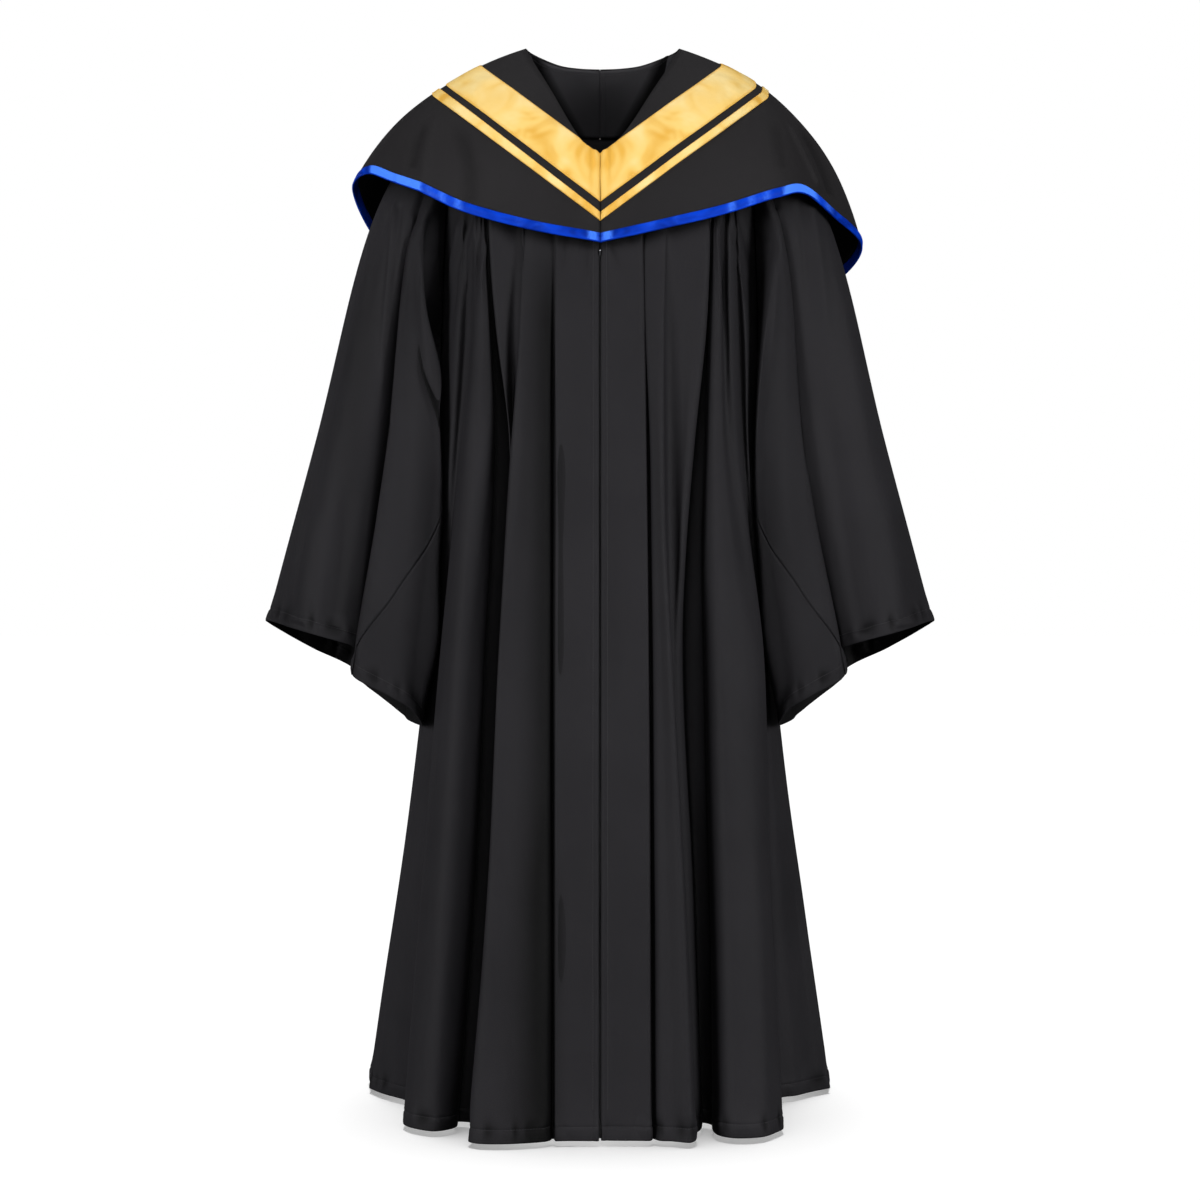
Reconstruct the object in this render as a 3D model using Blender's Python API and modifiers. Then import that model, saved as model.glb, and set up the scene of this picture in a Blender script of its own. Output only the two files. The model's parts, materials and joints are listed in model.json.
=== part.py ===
"""A graduation gown with its shoulder cape, filled out and hollow as when worn.

Metres, +Z up. The front faces -Y. The origin lies between the two sides of the neck, on top of the
shoulders, where the wearer holds the garment up. Left and right are as seen from the front.
Each piece that a maker would cut is an open surface, thickened by a Solidify modifier.
"""

import math

import bmesh
import bpy
import numpy as np
from mathutils import Vector

# Driving sizes.
CLOTH = 0.0015
CAPE_CLOTH = 0.0018
SATIN = 0.0010
BINDING_CLOTH = 0.0026
SEAM = 0.0005
HALF_SEAM = 0.0006

YOKE_Z = -0.165
UNDERARM_Z = -0.345
WAIST_Z = -0.470
KNEE_Z = -0.700
HEM_Z = -1.217
BACK_YOKE_Z = -0.080
LEVELS = (YOKE_Z, UNDERARM_Z, WAIST_Z, KNEE_Z, HEM_Z)
ROWS_PER_LEVEL = (3, 2, 2, 4)
STEPS_PER_FOLD = 2

PLACKET_TOP_Z = -0.155
PLACKET_LEAN = 0.3
PLACKET_Y = (-0.106, -0.138, -0.152, -0.178, -0.226)
PLACKET_LEFT = (-0.050, -0.050, -0.049, -0.049, -0.048)
PLACKET_RIGHT = (0.047, 0.049, 0.051, 0.053, 0.054)
ZIP_GAP = 0.0026
TUCK = 0.020
FOLD_PAST_EDGE = 0.001
TAPE_WIDTH = 0.012
TAPE_SHORTEST_ROW = 0.010
SLIDER_Z = -0.258
SLIDER_SIZE = (0.0020, 0.0036, 0.0080)
SLIDER_WINGS = (0.0060, 0.0016, 0.0080)
SLIDER_PROUD = 0.0008

BINDING = 0.012
BINDING_GAP = 0.0006
BAND = 0.046
LEAST_BAND_START = 0.0012
BAND_TO_STRIPE = 0.0085
STRIPE = 0.0095
CAPE_LOWER_ROWS = 4
CAPE_SAMPLES = 41
# Rows of the cape's grid that lie under the gold band and under the stripe.
BAND_ROWS = slice(1, 4)
STRIPE_ROWS = slice(4, 6)
YOKE_ROWS = 4
SLEEVE_STATIONS = 4
SLEEVE_ROWS = 3
GORE_ROWS = 3
SEAM_ROW = 0.012
GORE_GAP = 0.0055
GORE_SIDE_GAPS = (0.055, 0.015)
GORE_STEP = 0.03

# Folds of the fronts, from the placket towards the side seam: x and y at each of the levels,
# which are the yoke, underarm, waist, knee and hem.
FOLDS_LEFT = {
    "a_middle": (
        (-0.085, -0.105), (-0.083, -0.136), (-0.079, -0.150), (-0.082, -0.179), (-0.104, -0.241),
    ),
    "a_ridge": (
        (-0.122, -0.101), (-0.117, -0.133), (-0.103, -0.147), (-0.110, -0.171), (-0.137, -0.228),
    ),
    "a_recess": (
        (-0.127, -0.097), (-0.124, -0.121), (-0.115, -0.124), (-0.127, -0.132), (-0.144, -0.165),
    ),
    "b_middle": (
        (-0.140, -0.096), (-0.146, -0.120), (-0.146, -0.126), (-0.153, -0.145), (-0.184, -0.185),
    ),
    "b_ridge": (
        (-0.158, -0.090), (-0.167, -0.096), (-0.169, -0.088), (-0.178, -0.108), (-0.213, -0.152),
    ),
    "b_recess": (
        (-0.163, -0.087), (-0.174, -0.066), (-0.171, -0.058), (-0.180, -0.058), (-0.215, -0.085),
    ),
    "c_middle": (
        (-0.168, -0.083), (-0.180, -0.034), (-0.173, -0.024), (-0.189, -0.020), (-0.246, -0.044),
    ),
}
FOLDS_RIGHT = {
    "a_middle": (
        (0.080, -0.105), (0.080, -0.136), (0.076, -0.150), (0.066, -0.178), (0.081, -0.235),
    ),
    "a_ridge": (
        (0.120, -0.101), (0.116, -0.132), (0.102, -0.147), (0.079, -0.172), (0.102, -0.222),
    ),
    "a_recess": (
        (0.125, -0.097), (0.122, -0.121), (0.109, -0.128), (0.092, -0.132), (0.107, -0.168),
    ),
    "b_start": (
        (0.131, -0.098), (0.130, -0.123), (0.119, -0.132), (0.112, -0.149), (0.122, -0.192),
    ),
    "b_middle": (
        (0.145, -0.095), (0.148, -0.117), (0.145, -0.125), (0.146, -0.152), (0.158, -0.214),
    ),
    "b_ridge": (
        (0.158, -0.090), (0.166, -0.094), (0.167, -0.090), (0.181, -0.112), (0.199, -0.174),
    ),
    "b_recess": (
        (0.163, -0.087), (0.174, -0.064), (0.171, -0.058), (0.180, -0.060), (0.204, -0.064),
    ),
    "c_middle": (
        (0.168, -0.083), (0.180, -0.034), (0.173, -0.024), (0.189, -0.020), (0.243, -0.024),
    ),
}

# The side seam, and where the armhole starts on each yoke's seam: x is for the right side.
SIDE_X = (0.184, 0.194, 0.203, 0.270)
SIDE_Y = (0.006, 0.028, 0.024, 0.010)
ARMHOLE_FRONT = (0.172, -0.078, YOKE_Z)
ARMHOLE_BACK = (0.176, 0.074, BACK_YOKE_Z)
ARMHOLE_ROUND = 0.62

# The back: its depth at the centre and the depth of its folds at each level.
BACK_LEVELS = (BACK_YOKE_Z,) + LEVELS
BACK_CENTRE_Y = (0.109, 0.124, 0.134, 0.136, 0.152, 0.208)
BACK_FOLD_DEPTH = (0.0015, 0.003, 0.006, 0.008, 0.012, 0.022)
BACK_ROWS_PER_LEVEL = (2,) + ROWS_PER_LEVEL
# Powers that round the back's section and fade its folds towards the sides.
BACK_ROUND = 0.75
FOLD_FADE = 0.5
# Place across the back from -1 at the left side seam to 1, and height as a share of the depth of the folds.
BACK_FOLDS = (
    ("side_left", -1.00, 0.0),
    ("ridge_1", -0.87, 0.35),
    ("valley_1", -0.74, -0.8),
    ("ridge_2", -0.58, 1.0),
    ("valley_2", -0.41, -1.0),
    ("ridge_3", -0.25, 0.8),
    ("valley_3", -0.11, -0.7),
    ("ridge_4", 0.06, 1.0),
    ("valley_4", 0.22, -0.9),
    ("ridge_5", 0.37, 0.8),
    ("valley_5", 0.52, -1.0),
    ("ridge_6", 0.69, 1.0),
    ("valley_6", 0.83, -0.7),
    ("ridge_7", 0.92, 0.15),
    ("side_right", 1.00, 0.0),
)

# Lines down the left sleeve, all round it: points at the armhole, upper arm, elbow and cuff.
SLEEVE_LINES = {
    "outer": (
        (-0.1882, 0.000, -0.060), (-0.262, 0.000, -0.190),
        (-0.332, 0.002, -0.456), (-0.390, 0.010, -0.669),
    ),
    "front_outer": (
        (-0.182, -0.0345, -0.093), (-0.236, -0.066, -0.205),
        (-0.284, -0.086, -0.470), (-0.313, -0.095, -0.681),
    ),
    "dip": (
        (-0.1795, -0.047, -0.112), (-0.225, -0.078, -0.222),
        (-0.252, -0.084, -0.480), (-0.2765, -0.080, -0.697),
    ),
    "hollow": (
        (-0.1775, -0.057, -0.1285), (-0.216, -0.072, -0.232),
        (-0.236, -0.070, -0.490), (-0.2675, -0.055, -0.705),
    ),
    "fold_edge": (
        (-0.1755, -0.066, -0.143), (-0.2196, -0.086, -0.235),
        (-0.2416, -0.100, -0.485), (-0.2781, -0.098, -0.7276),
    ),
    "front_middle": (
        (-0.1737, -0.0755, -0.158), (-0.207, -0.094, -0.243),
        (-0.216, -0.106, -0.495), (-0.2366, -0.100, -0.7511),
    ),
    "front_inner": (
        (-0.1785, -0.053, -0.245), (-0.195, -0.082, -0.255),
        (-0.1965, -0.096, -0.508), (-0.2225, -0.088, -0.7620),
    ),
    "inner": (
        (-0.1855, 0.004, -0.347), (-0.1850, -0.052, -0.402),
        (-0.178, -0.086, -0.536), (-0.2055, -0.050, -0.7836),
    ),
    "back_inner": (
        (-0.182, 0.0425, -0.245), (-0.202, 0.060, -0.360),
        (-0.214, 0.040, -0.545), (-0.240, 0.055, -0.778),
    ),
    "back_middle": (
        (-0.179, 0.064, -0.140), (-0.215, 0.102, -0.270),
        (-0.262, 0.095, -0.505), (-0.300, 0.092, -0.726),
    ),
    "back_outer": (
        (-0.1845, 0.048, -0.070), (-0.244, 0.070, -0.200),
        (-0.308, 0.068, -0.468), (-0.347, 0.070, -0.701),
    ),
}
# A place and share on the far side of the sleeve, which the gore faces.
GORE_FACES = (0.5, 0.8)
# The gore's seam: place round the sleeve (in lines) and share of the length at which it runs.
GORE_SEAM = (
    (4.0, 0.955), (4.4, 0.910), (5.0, 0.844), (6.0, 0.785),
    (7.0, 0.675), (8.0, 0.800), (8.5, 0.890), (9.0, 0.955),
)

# Lines down the cape, from centre front round to centre back: the neck edge, the point that the
# line bends towards, the hem, and the way from the neck edge to the gold band with its slant.
CAPE_LEFT = (
    ((0.000, -0.105, -0.143), (0.000, -0.125, -0.190), (0.000, -0.140, -0.252), 0.0015, 1.36),
    ((-0.026, -0.095, -0.119), (-0.058, -0.128, -0.165), (-0.083, -0.137, -0.2365), 0.003, 1.14),
    ((-0.055, -0.060, -0.063), (-0.120, -0.118, -0.118), (-0.155, -0.127, -0.2145), 0.033, 1.13),
    ((-0.074, -0.025, -0.025), (-0.176, -0.088, -0.080), (-0.201, -0.112, -0.1895), 0.051, 1.13),
    ((-0.081, -0.012, -0.011), (-0.208, -0.058, -0.060), (-0.234, -0.090, -0.1700), 0.055, 1.10),
    ((-0.0866, 0.000, 0.000), (-0.221, -0.028, -0.048), (-0.267, -0.057, -0.1490), 0.057, 1.07),
    ((-0.082, 0.022, -0.001), (-0.229, 0.012, -0.044), (-0.290, 0.006, -0.156), 0.056, 1.06),
    ((-0.069, 0.046, -0.003), (-0.228, 0.072, -0.050), (-0.277, 0.078, -0.200), 0.056, 1.04),
    ((-0.048, 0.060, -0.005), (-0.194, 0.124, -0.056), (-0.232, 0.146, -0.252), 0.059, 1.02),
    ((-0.024, 0.068, -0.006), (-0.100, 0.150, -0.062), (-0.122, 0.166, -0.292), 0.061, 1.00),
    ((0.000, 0.070, -0.007), (0.000, 0.154, -0.064), (0.000, 0.172, -0.304), 0.062, 1.00),
)
CAPE_RIGHT = (
    ((0.000, -0.105, -0.143), (0.000, -0.125, -0.190), (0.000, -0.140, -0.252), 0.0015, 1.36),
    ((0.029, -0.095, -0.116), (0.056, -0.128, -0.164), (0.074, -0.138, -0.2365), 0.004, 1.15),
    ((0.060, -0.060, -0.062), (0.118, -0.118, -0.118), (0.138, -0.129, -0.2185), 0.031, 1.14),
    ((0.080, -0.025, -0.025), (0.178, -0.088, -0.082), (0.201, -0.112, -0.1940), 0.046, 1.13),
    ((0.0865, -0.012, -0.011), (0.214, -0.058, -0.062), (0.231, -0.088, -0.1860), 0.051, 1.09),
    ((0.0924, 0.000, 0.000), (0.242, -0.026, -0.050), (0.268, -0.050, -0.2050), 0.052, 1.05),
    ((0.088, 0.022, -0.001), (0.268, 0.012, -0.047), (0.308, 0.018, -0.2260), 0.052, 1.05),
    ((0.073, 0.046, -0.003), (0.252, 0.072, -0.054), (0.294, 0.082, -0.252), 0.053, 1.03),
    ((0.050, 0.060, -0.005), (0.200, 0.126, -0.058), (0.240, 0.150, -0.278), 0.058, 1.02),
    ((0.025, 0.068, -0.006), (0.102, 0.150, -0.062), (0.125, 0.166, -0.298), 0.061, 1.00),
    ((0.000, 0.070, -0.007), (0.000, 0.154, -0.064), (0.000, 0.172, -0.304), 0.062, 1.00),
)

# Lines down the yokes of the left side, from the centre to the armhole: top edge, bend and lower edge.
FRONT_YOKE = (
    ((-0.020, -0.089, -0.131), (-0.021, -0.093, -0.148), (-0.022, -0.1022, -0.1642)),
    ((-0.046, -0.066, -0.087), (-0.053, -0.087, -0.118), (-0.060, -0.1022, -0.1642)),
    ((-0.085, -0.003, -0.0055), (-0.094, -0.065, -0.065), (-0.100, -0.1005, -0.1642)),
    ((-0.135, -0.002, -0.030), (-0.138, -0.060, -0.068), (-0.140, -0.0950, -0.1642)),
    ((-0.186, -0.002, -0.060), (-0.180, -0.044, -0.094), (-0.172, -0.0780, -0.1642)),
)
BACK_YOKE = (
    ((0.000, 0.063, -0.014), (0.000, 0.085, -0.038), (0.000, 0.1070, -0.0792)),
    ((-0.045, 0.053, -0.012), (-0.058, 0.082, -0.038), (-0.070, 0.1050, -0.0792)),
    ((-0.084, 0.003, -0.0060), (-0.100, 0.068, -0.040), (-0.120, 0.0970, -0.0792)),
    ((-0.135, 0.002, -0.030), (-0.145, 0.058, -0.050), (-0.150, 0.0880, -0.0792)),
    ((-0.186, 0.002, -0.060), (-0.184, 0.044, -0.066), (-0.176, 0.0740, -0.0792)),
)

# name, colour, roughness
MATERIALS = {
    "gown_cloth": ((0.020, 0.019, 0.021), 0.62),
    "cape_cloth": ((0.022, 0.020, 0.022), 0.60),
    "gold_satin": ((0.93, 0.58, 0.12), 0.38),
    "blue_satin": ((0.006, 0.055, 0.62), 0.34),
    "zip_tape": ((0.012, 0.012, 0.013), 0.75),
    "slider_metal": ((0.45, 0.46, 0.48), 0.30),
}
INSIDE_BODY = Vector((0.0, 0.0, -0.45))


def make_materials():
    """One Principled material for each finish."""
    made = {}
    for name, (colour, roughness) in MATERIALS.items():
        material = bpy.data.materials.new(name)
        material.use_nodes = True
        shader = material.node_tree.nodes["Principled BSDF"]
        shader.inputs["Base Color"].default_value = (*colour, 1.0)
        shader.inputs["Roughness"].default_value = roughness
        shader.inputs["Metallic"].default_value = 1.0 if name == "slider_metal" else 0.0
        made[name] = material
    return made


def between(levels, values, z):
    """Value at height z on a smooth curve through the values at the levels."""
    levels = np.asarray(levels, float)
    values = np.asarray(values, float)
    slopes = np.diff(values, axis=0) / np.diff(levels).reshape(-1, *([1] * (values.ndim - 1)))
    tangents = np.concatenate([slopes[:1], (slopes[1:] + slopes[:-1]) / 2, slopes[-1:]])
    span = int(np.clip(np.sum(levels > z) - 1, 0, len(levels) - 2))
    width = levels[span + 1] - levels[span]
    f = (z - levels[span]) / width
    start = (2 * f**3 - 3 * f**2 + 1) * values[span] + (f**3 - 2 * f**2 + f) * width * tangents[span]
    end = (3 * f**2 - 2 * f**3) * values[span + 1] + (f**3 - f**2) * width * tangents[span + 1]
    return start + end


def spline_point(points, place, closed=False):
    """Point on a centripetal Catmull-Rom curve, at a place counted in points from the first."""
    count = len(points)
    last = count - 1 if closed else count - 2
    span = min(int(place), last)
    f = place - span
    if closed:
        p0, p1, p2, p3 = (points[(span + step) % count] for step in (-1, 0, 1, 2))
    else:
        p1, p2 = points[span], points[span + 1]
        p0 = points[span - 1] if span > 0 else 2 * p1 - p2
        p3 = points[span + 2] if span + 2 < count else 2 * p2 - p1
    t1 = max(np.linalg.norm(p1 - p0), 1e-6) ** 0.5
    t2 = t1 + max(np.linalg.norm(p2 - p1), 1e-6) ** 0.5
    t3 = t2 + max(np.linalg.norm(p3 - p2), 1e-6) ** 0.5
    t = t1 + f * (t2 - t1)
    a1 = p0 * (t1 - t) / t1 + p1 * t / t1
    a2 = p1 * (t2 - t) / (t2 - t1) + p2 * (t - t1) / (t2 - t1)
    a3 = p2 * (t3 - t) / (t3 - t2) + p3 * (t - t2) / (t3 - t2)
    b1 = a1 * (t2 - t) / t2 + a2 * t / t2
    b2 = a2 * (t3 - t) / (t3 - t1) + a3 * (t - t1) / (t3 - t1)
    return b1 * (t2 - t) / (t2 - t1) + b2 * (t - t1) / (t2 - t1)


def bend(start, middle, end, share):
    """Point on the arc from start to end that bends towards middle."""
    return (1 - share) ** 2 * start + 2 * share * (1 - share) * middle + share**2 * end


def heights(levels, rows_per_level):
    """Heights of the rows, from the first level to the last."""
    made = [levels[0]]
    for upper, lower, rows in zip(levels, levels[1:], rows_per_level):
        made += [upper + (lower - upper) * (row + 1) / rows for row in range(rows)]
    return made


def shell(name, grid, thickness, material, closed=False, inside=INSIDE_BODY, outward=False):
    """A wall on a grid of points. It thickens towards the inside, or away from it when outward is set."""
    surface = bmesh.new()
    rows = [[surface.verts.new(tuple(point)) for point in row] for row in grid]
    lean = 0.0
    for upper, lower in zip(rows, rows[1:]):
        core = inside
        if closed:
            core = sum((vert.co for vert in upper + lower), Vector()) / (2 * len(upper))
        for column in range(len(upper) if closed else len(upper) - 1):
            following = (column + 1) % len(upper)
            face = surface.faces.new((upper[column], upper[following], lower[following], lower[column]))
            face.normal_update()
            lean += face.normal.dot(face.calc_center_median() - core) * face.calc_area()
    if lean < 0:
        bmesh.ops.reverse_faces(surface, faces=surface.faces)
    mesh = bpy.data.meshes.new(name)
    surface.to_mesh(mesh)
    surface.free()
    mesh.materials.append(material)
    made = bpy.data.objects.new(name, mesh)
    gown.objects.link(made)
    wall = made.modifiers.new("Wall", "SOLIDIFY")
    wall.thickness = thickness
    wall.offset = 1.0 if outward else -1.0
    wall.use_even_offset = True
    wall.use_rim = True
    return made


def side_edge(z, armhole):
    """x and y of a panel's side edge on the right: the side seam, and above the underarm the armhole."""
    if z <= UNDERARM_Z:
        return between(LEVELS[1:], tuple(zip(SIDE_X, SIDE_Y)), z)
    top_x, top_y, top_z = armhole
    share = (z - UNDERARM_Z) / (top_z - UNDERARM_Z)
    x = SIDE_X[0] + (top_x - SIDE_X[0]) * share
    return np.array((x, SIDE_Y[0] + (top_y - SIDE_Y[0]) * share**ARMHOLE_ROUND))


def front_lines(z, folds, placket_edge):
    """Points across one front at height z, from under the placket to the side seam."""
    edge_x = float(between(LEVELS, placket_edge, z))
    behind = float(between(LEVELS, PLACKET_Y, z)) + CLOTH + SEAM
    side = math.copysign(1.0, edge_x)
    points = [(edge_x - side * TUCK, behind), (edge_x + side * FOLD_PAST_EDGE, behind)]
    points += [tuple(between(LEVELS, line, z)) for line in folds.values()]
    side_x, side_y = side_edge(z, ARMHOLE_FRONT)
    points.append((side * side_x, side_y - HALF_SEAM))
    return [np.array((x, y, z)) for x, y in points]


def front_panel(name, folds, placket_edge, material):
    """One pleated front, from the yoke seam to the hem."""
    grid = []
    for z in heights(LEVELS, ROWS_PER_LEVEL):
        lines = front_lines(z, folds, placket_edge)
        places = [0.0] + [1 + k / STEPS_PER_FOLD for k in range((len(lines) - 2) * STEPS_PER_FOLD + 1)]
        grid.append([spline_point(lines, place) for place in places])
    shell(name, grid, CLOTH, material)


def back_point(z, place, height):
    """Point of the back at height z and place across it, lifted by a share of the folds' depth."""
    half_width, side_y = side_edge(z, ARMHOLE_BACK)
    centre_y = float(between(BACK_LEVELS, BACK_CENTRE_Y, z))
    lift = float(between(BACK_LEVELS, BACK_FOLD_DEPTH, z)) * height
    angle = place * math.pi / 2
    x = half_width * math.sin(angle) + lift * math.sin(angle)
    y = side_y + (centre_y - side_y) * math.cos(angle) ** BACK_ROUND + lift * math.cos(angle) ** FOLD_FADE
    return np.array((x, y + HALF_SEAM, z))


def back_panel(material):
    """The gathered back, from the yoke seam to the hem and from side seam to side seam."""
    grid = []
    for z in heights(BACK_LEVELS, BACK_ROWS_PER_LEVEL):
        lines = [back_point(z, place, height) for _, place, height in BACK_FOLDS]
        steps = (len(lines) - 1) * STEPS_PER_FOLD
        grid.append([spline_point(lines, k / STEPS_PER_FOLD) for k in range(steps + 1)])
    shell("back_panel", grid, CLOTH, material)


def placket(name, edge, material):
    """The flat strip beside the zip."""
    side = math.copysign(1.0, edge[0])
    grid = []
    for z in [PLACKET_TOP_Z] + heights(LEVELS, ROWS_PER_LEVEL):
        level = min(z, YOKE_Z)
        inner = side * ZIP_GAP / 2
        outer = float(between(LEVELS, edge, level))
        y = float(between(LEVELS, PLACKET_Y, level)) + (z - level) * PLACKET_LEAN
        grid.append([np.array((inner + (outer - inner) * share, y, z)) for share in (0.0, 0.5, 1.0)])
    shell(name, grid, CLOTH, material)


def zip_tape(name, side, material):
    """The strip of the zip behind one placket's edge, from the slider down."""
    top = SLIDER_Z - SLIDER_SIZE[2] / 2 - SEAM
    levels = [top] + [z for z in heights(LEVELS, ROWS_PER_LEVEL) if z < top - TAPE_SHORTEST_ROW]
    grid = []
    for z in levels:
        y = float(between(LEVELS, PLACKET_Y, z)) + CLOTH + SEAM
        grid.append([np.array((side * x, y, z)) for x in (HALF_SEAM, TAPE_WIDTH)])
    shell(name, grid, CLOTH, material)


def zip_slider(material):
    """The slider: a crown in the gap between the plackets on a body with two wings behind them."""
    front = float(between(LEVELS, PLACKET_Y, SLIDER_Z))
    rise = float(between(LEVELS, PLACKET_Y, SLIDER_Z + SLIDER_SIZE[2])) - front
    lean = -math.atan2(rise, SLIDER_SIZE[2])
    crown_y = front + SLIDER_SIZE[1] / 2 - SLIDER_PROUD
    crown = box("zip_slider", SLIDER_SIZE, (0.0, crown_y, SLIDER_Z), material)
    wing_y = front + CLOTH + SEAM + SLIDER_WINGS[1] / 2
    wings = box("wings", SLIDER_WINGS, (0.0, wing_y, SLIDER_Z), material)
    crown.rotation_euler.x = lean
    wings.rotation_euler.x = lean
    join = crown.modifiers.new("Wings", "BOOLEAN")
    join.operation = "UNION"
    join.object = wings
    gown.objects.unlink(wings)
    cutters.objects.link(wings)
    wings.hide_render = True
    wings.display_type = "WIRE"


def box(name, size, centre, material):
    """A box of that size about its centre."""
    surface = bmesh.new()
    bmesh.ops.create_cube(surface, size=1.0)
    bmesh.ops.scale(surface, vec=Vector(size), verts=surface.verts)
    mesh = bpy.data.meshes.new(name)
    surface.to_mesh(mesh)
    surface.free()
    mesh.materials.append(material)
    made = bpy.data.objects.new(name, mesh)
    made.location = centre
    gown.objects.link(made)
    return made


def yoke(name, lines, side, centre_gap, material):
    """One yoke, from the neck and shoulder down to its seam. The table is for the left side, -1."""
    lines = np.array(lines) * (-side, 1.0, 1.0)
    lines[0, :, 0] += side * centre_gap
    grid = []
    for row in range(YOKE_ROWS + 1):
        share = row / YOKE_ROWS
        arcs = [bend(*line, share) for line in lines]
        grid.append([spline_point(arcs, k / 2) for k in range(2 * len(arcs) - 1)])
    shell(name, grid, CLOTH, material)


def gore_seam(place):
    """Share of the sleeve's length at which the gore's seam runs, or 1 where there is none."""
    places, shares = zip(*GORE_SEAM)
    if not places[0] <= place <= places[-1]:
        return 1.0
    return float(np.interp(place, places, shares))


def sleeve_point(place, share, side):
    """Point of a sleeve: place round it in lines, share of its length, side -1 for left."""
    stations = [
        spline_point([np.array(line[station]) for line in SLEEVE_LINES.values()], place, closed=True)
        for station in range(SLEEVE_STATIONS)
    ]
    point = spline_point(stations, share * (SLEEVE_STATIONS - 1))
    point[0] *= -side
    return point


def sleeve(name, side, material):
    """The main piece of a sleeve, all round, cut away where the gore is set in."""
    steps = [GORE_SEAM[0][0] - GORE_STEP, GORE_SEAM[-1][0] + GORE_STEP]
    places = sorted([k / 2 for k in range(2 * len(SLEEVE_LINES))] + steps)
    rows = (SLEEVE_STATIONS - 1) * SLEEVE_ROWS
    shares = [row / rows for row in range(rows)] + [1 - SEAM_ROW, 1.0]
    grid = [[sleeve_point(place, gore_seam(place) * share, side) for place in places] for share in shares]
    shell(name, grid, CLOTH, material, closed=True)


def sleeve_gore(name, side, material):
    """The three-cornered piece let into the underside of a sleeve at the cuff."""
    first, last = GORE_SEAM[0][0], GORE_SEAM[-1][0]
    places = [k / 2 for k in range(int(2 * first) + 1, int(2 * last))]
    places = [first + GORE_SIDE_GAPS[0], *places, last - GORE_SIDE_GAPS[1]]
    shares = [0.0, SEAM_ROW] + [row / GORE_ROWS for row in range(1, GORE_ROWS + 1)]
    grid = []
    for share in shares:
        tops = [gore_seam(place) + GORE_GAP for place in places]
        grid.append([sleeve_point(place, top + (1 - top) * share, side) for place, top in zip(places, tops)])
    faced = Vector(sleeve_point(*GORE_FACES, side))
    shell(name, grid, CLOTH, material, inside=faced)


class CapeLine:
    """One line down the cape, measured along its length from the neck edge."""

    def __init__(self, values):
        self.neck, self.crown, self.hem = values[0:3], values[3:6], values[6:9]
        self.band_start, self.slant = max(values[9], LEAST_BAND_START), values[10]
        shares = np.linspace(0.0, 1.0, CAPE_SAMPLES)
        self.points = np.array([bend(self.neck, self.crown, self.hem, share) for share in shares])
        steps = np.linalg.norm(np.diff(self.points, axis=0), axis=1)
        self.lengths = np.concatenate([[0.0], np.cumsum(steps)])

    def at(self, way):
        """Point at a way along the line."""
        return np.array([np.interp(way, self.lengths, self.points[:, axis]) for axis in range(3)])

    def ways(self):
        """Ways from the neck edge to the rows: band, stripe, lower part and binding."""
        band_end = self.band_start + BAND * self.slant
        stripe_start = band_end + BAND_TO_STRIPE * self.slant
        stripe_end = stripe_start + STRIPE * self.slant
        binding_start = self.lengths[-1] - BINDING
        lower = np.linspace(stripe_end, binding_start, CAPE_LOWER_ROWS + 1)[1:]
        middle = (self.band_start + band_end) / 2
        return [0.0, self.band_start, middle, band_end, stripe_start, stripe_end, *lower]


def cape_grid(table, side):
    """Rows of points of one half of the cape, and the two rows of its binding."""
    rows = [np.array([*neck, *crown, *hem, start, slant]) for neck, crown, hem, start, slant in table]
    lines = [CapeLine(spline_point(rows, k / 2)) for k in range(2 * len(rows) - 1)]
    ways = [line.ways() for line in lines]
    panel = [[line.at(way[row]) for line, way in zip(lines, ways)] for row in range(len(ways[0]))]
    binding = [
        [line.at(way[-1] + BINDING_GAP) for line, way in zip(lines, ways)],
        [line.at(line.lengths[-1]) for line in lines],
    ]
    for row in panel + binding:
        row[0][0] = side * HALF_SEAM
        row[-1][0] = side * HALF_SEAM
    return panel, binding


def normals_of(grid, up):
    """Unit normals at the points of a grid, on the side away from the inside of the body."""
    points = np.array(grid)
    across = np.gradient(points, axis=1)
    down = np.gradient(points, axis=0)
    made = np.cross(across, down) * up
    return made / np.linalg.norm(made, axis=2, keepdims=True)


def cape_half(word, table, side):
    """Half the cape with its gold band, gold stripe and blue binding."""
    panel, binding = cape_grid(table, side)
    shell("cape_" + word, panel, CAPE_CLOTH, finish["cape_cloth"])
    raised = np.array(panel) - normals_of(panel, side) * SEAM
    shell("gold_band_" + word, raised[BAND_ROWS], SATIN, finish["gold_satin"], outward=True)
    shell("gold_stripe_" + word, raised[STRIPE_ROWS], SATIN, finish["gold_satin"], outward=True)
    shell("binding_" + word, binding, BINDING_CLOTH, finish["blue_satin"])


for old in list(bpy.data.objects):
    bpy.data.objects.remove(old, do_unlink=True)
gown = bpy.data.collections.new("graduation_gown")
cutters = bpy.data.collections.new("cutters")
bpy.context.scene.collection.children.link(gown)
bpy.context.scene.collection.children.link(cutters)
cutters.hide_render = True
finish = make_materials()

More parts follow.
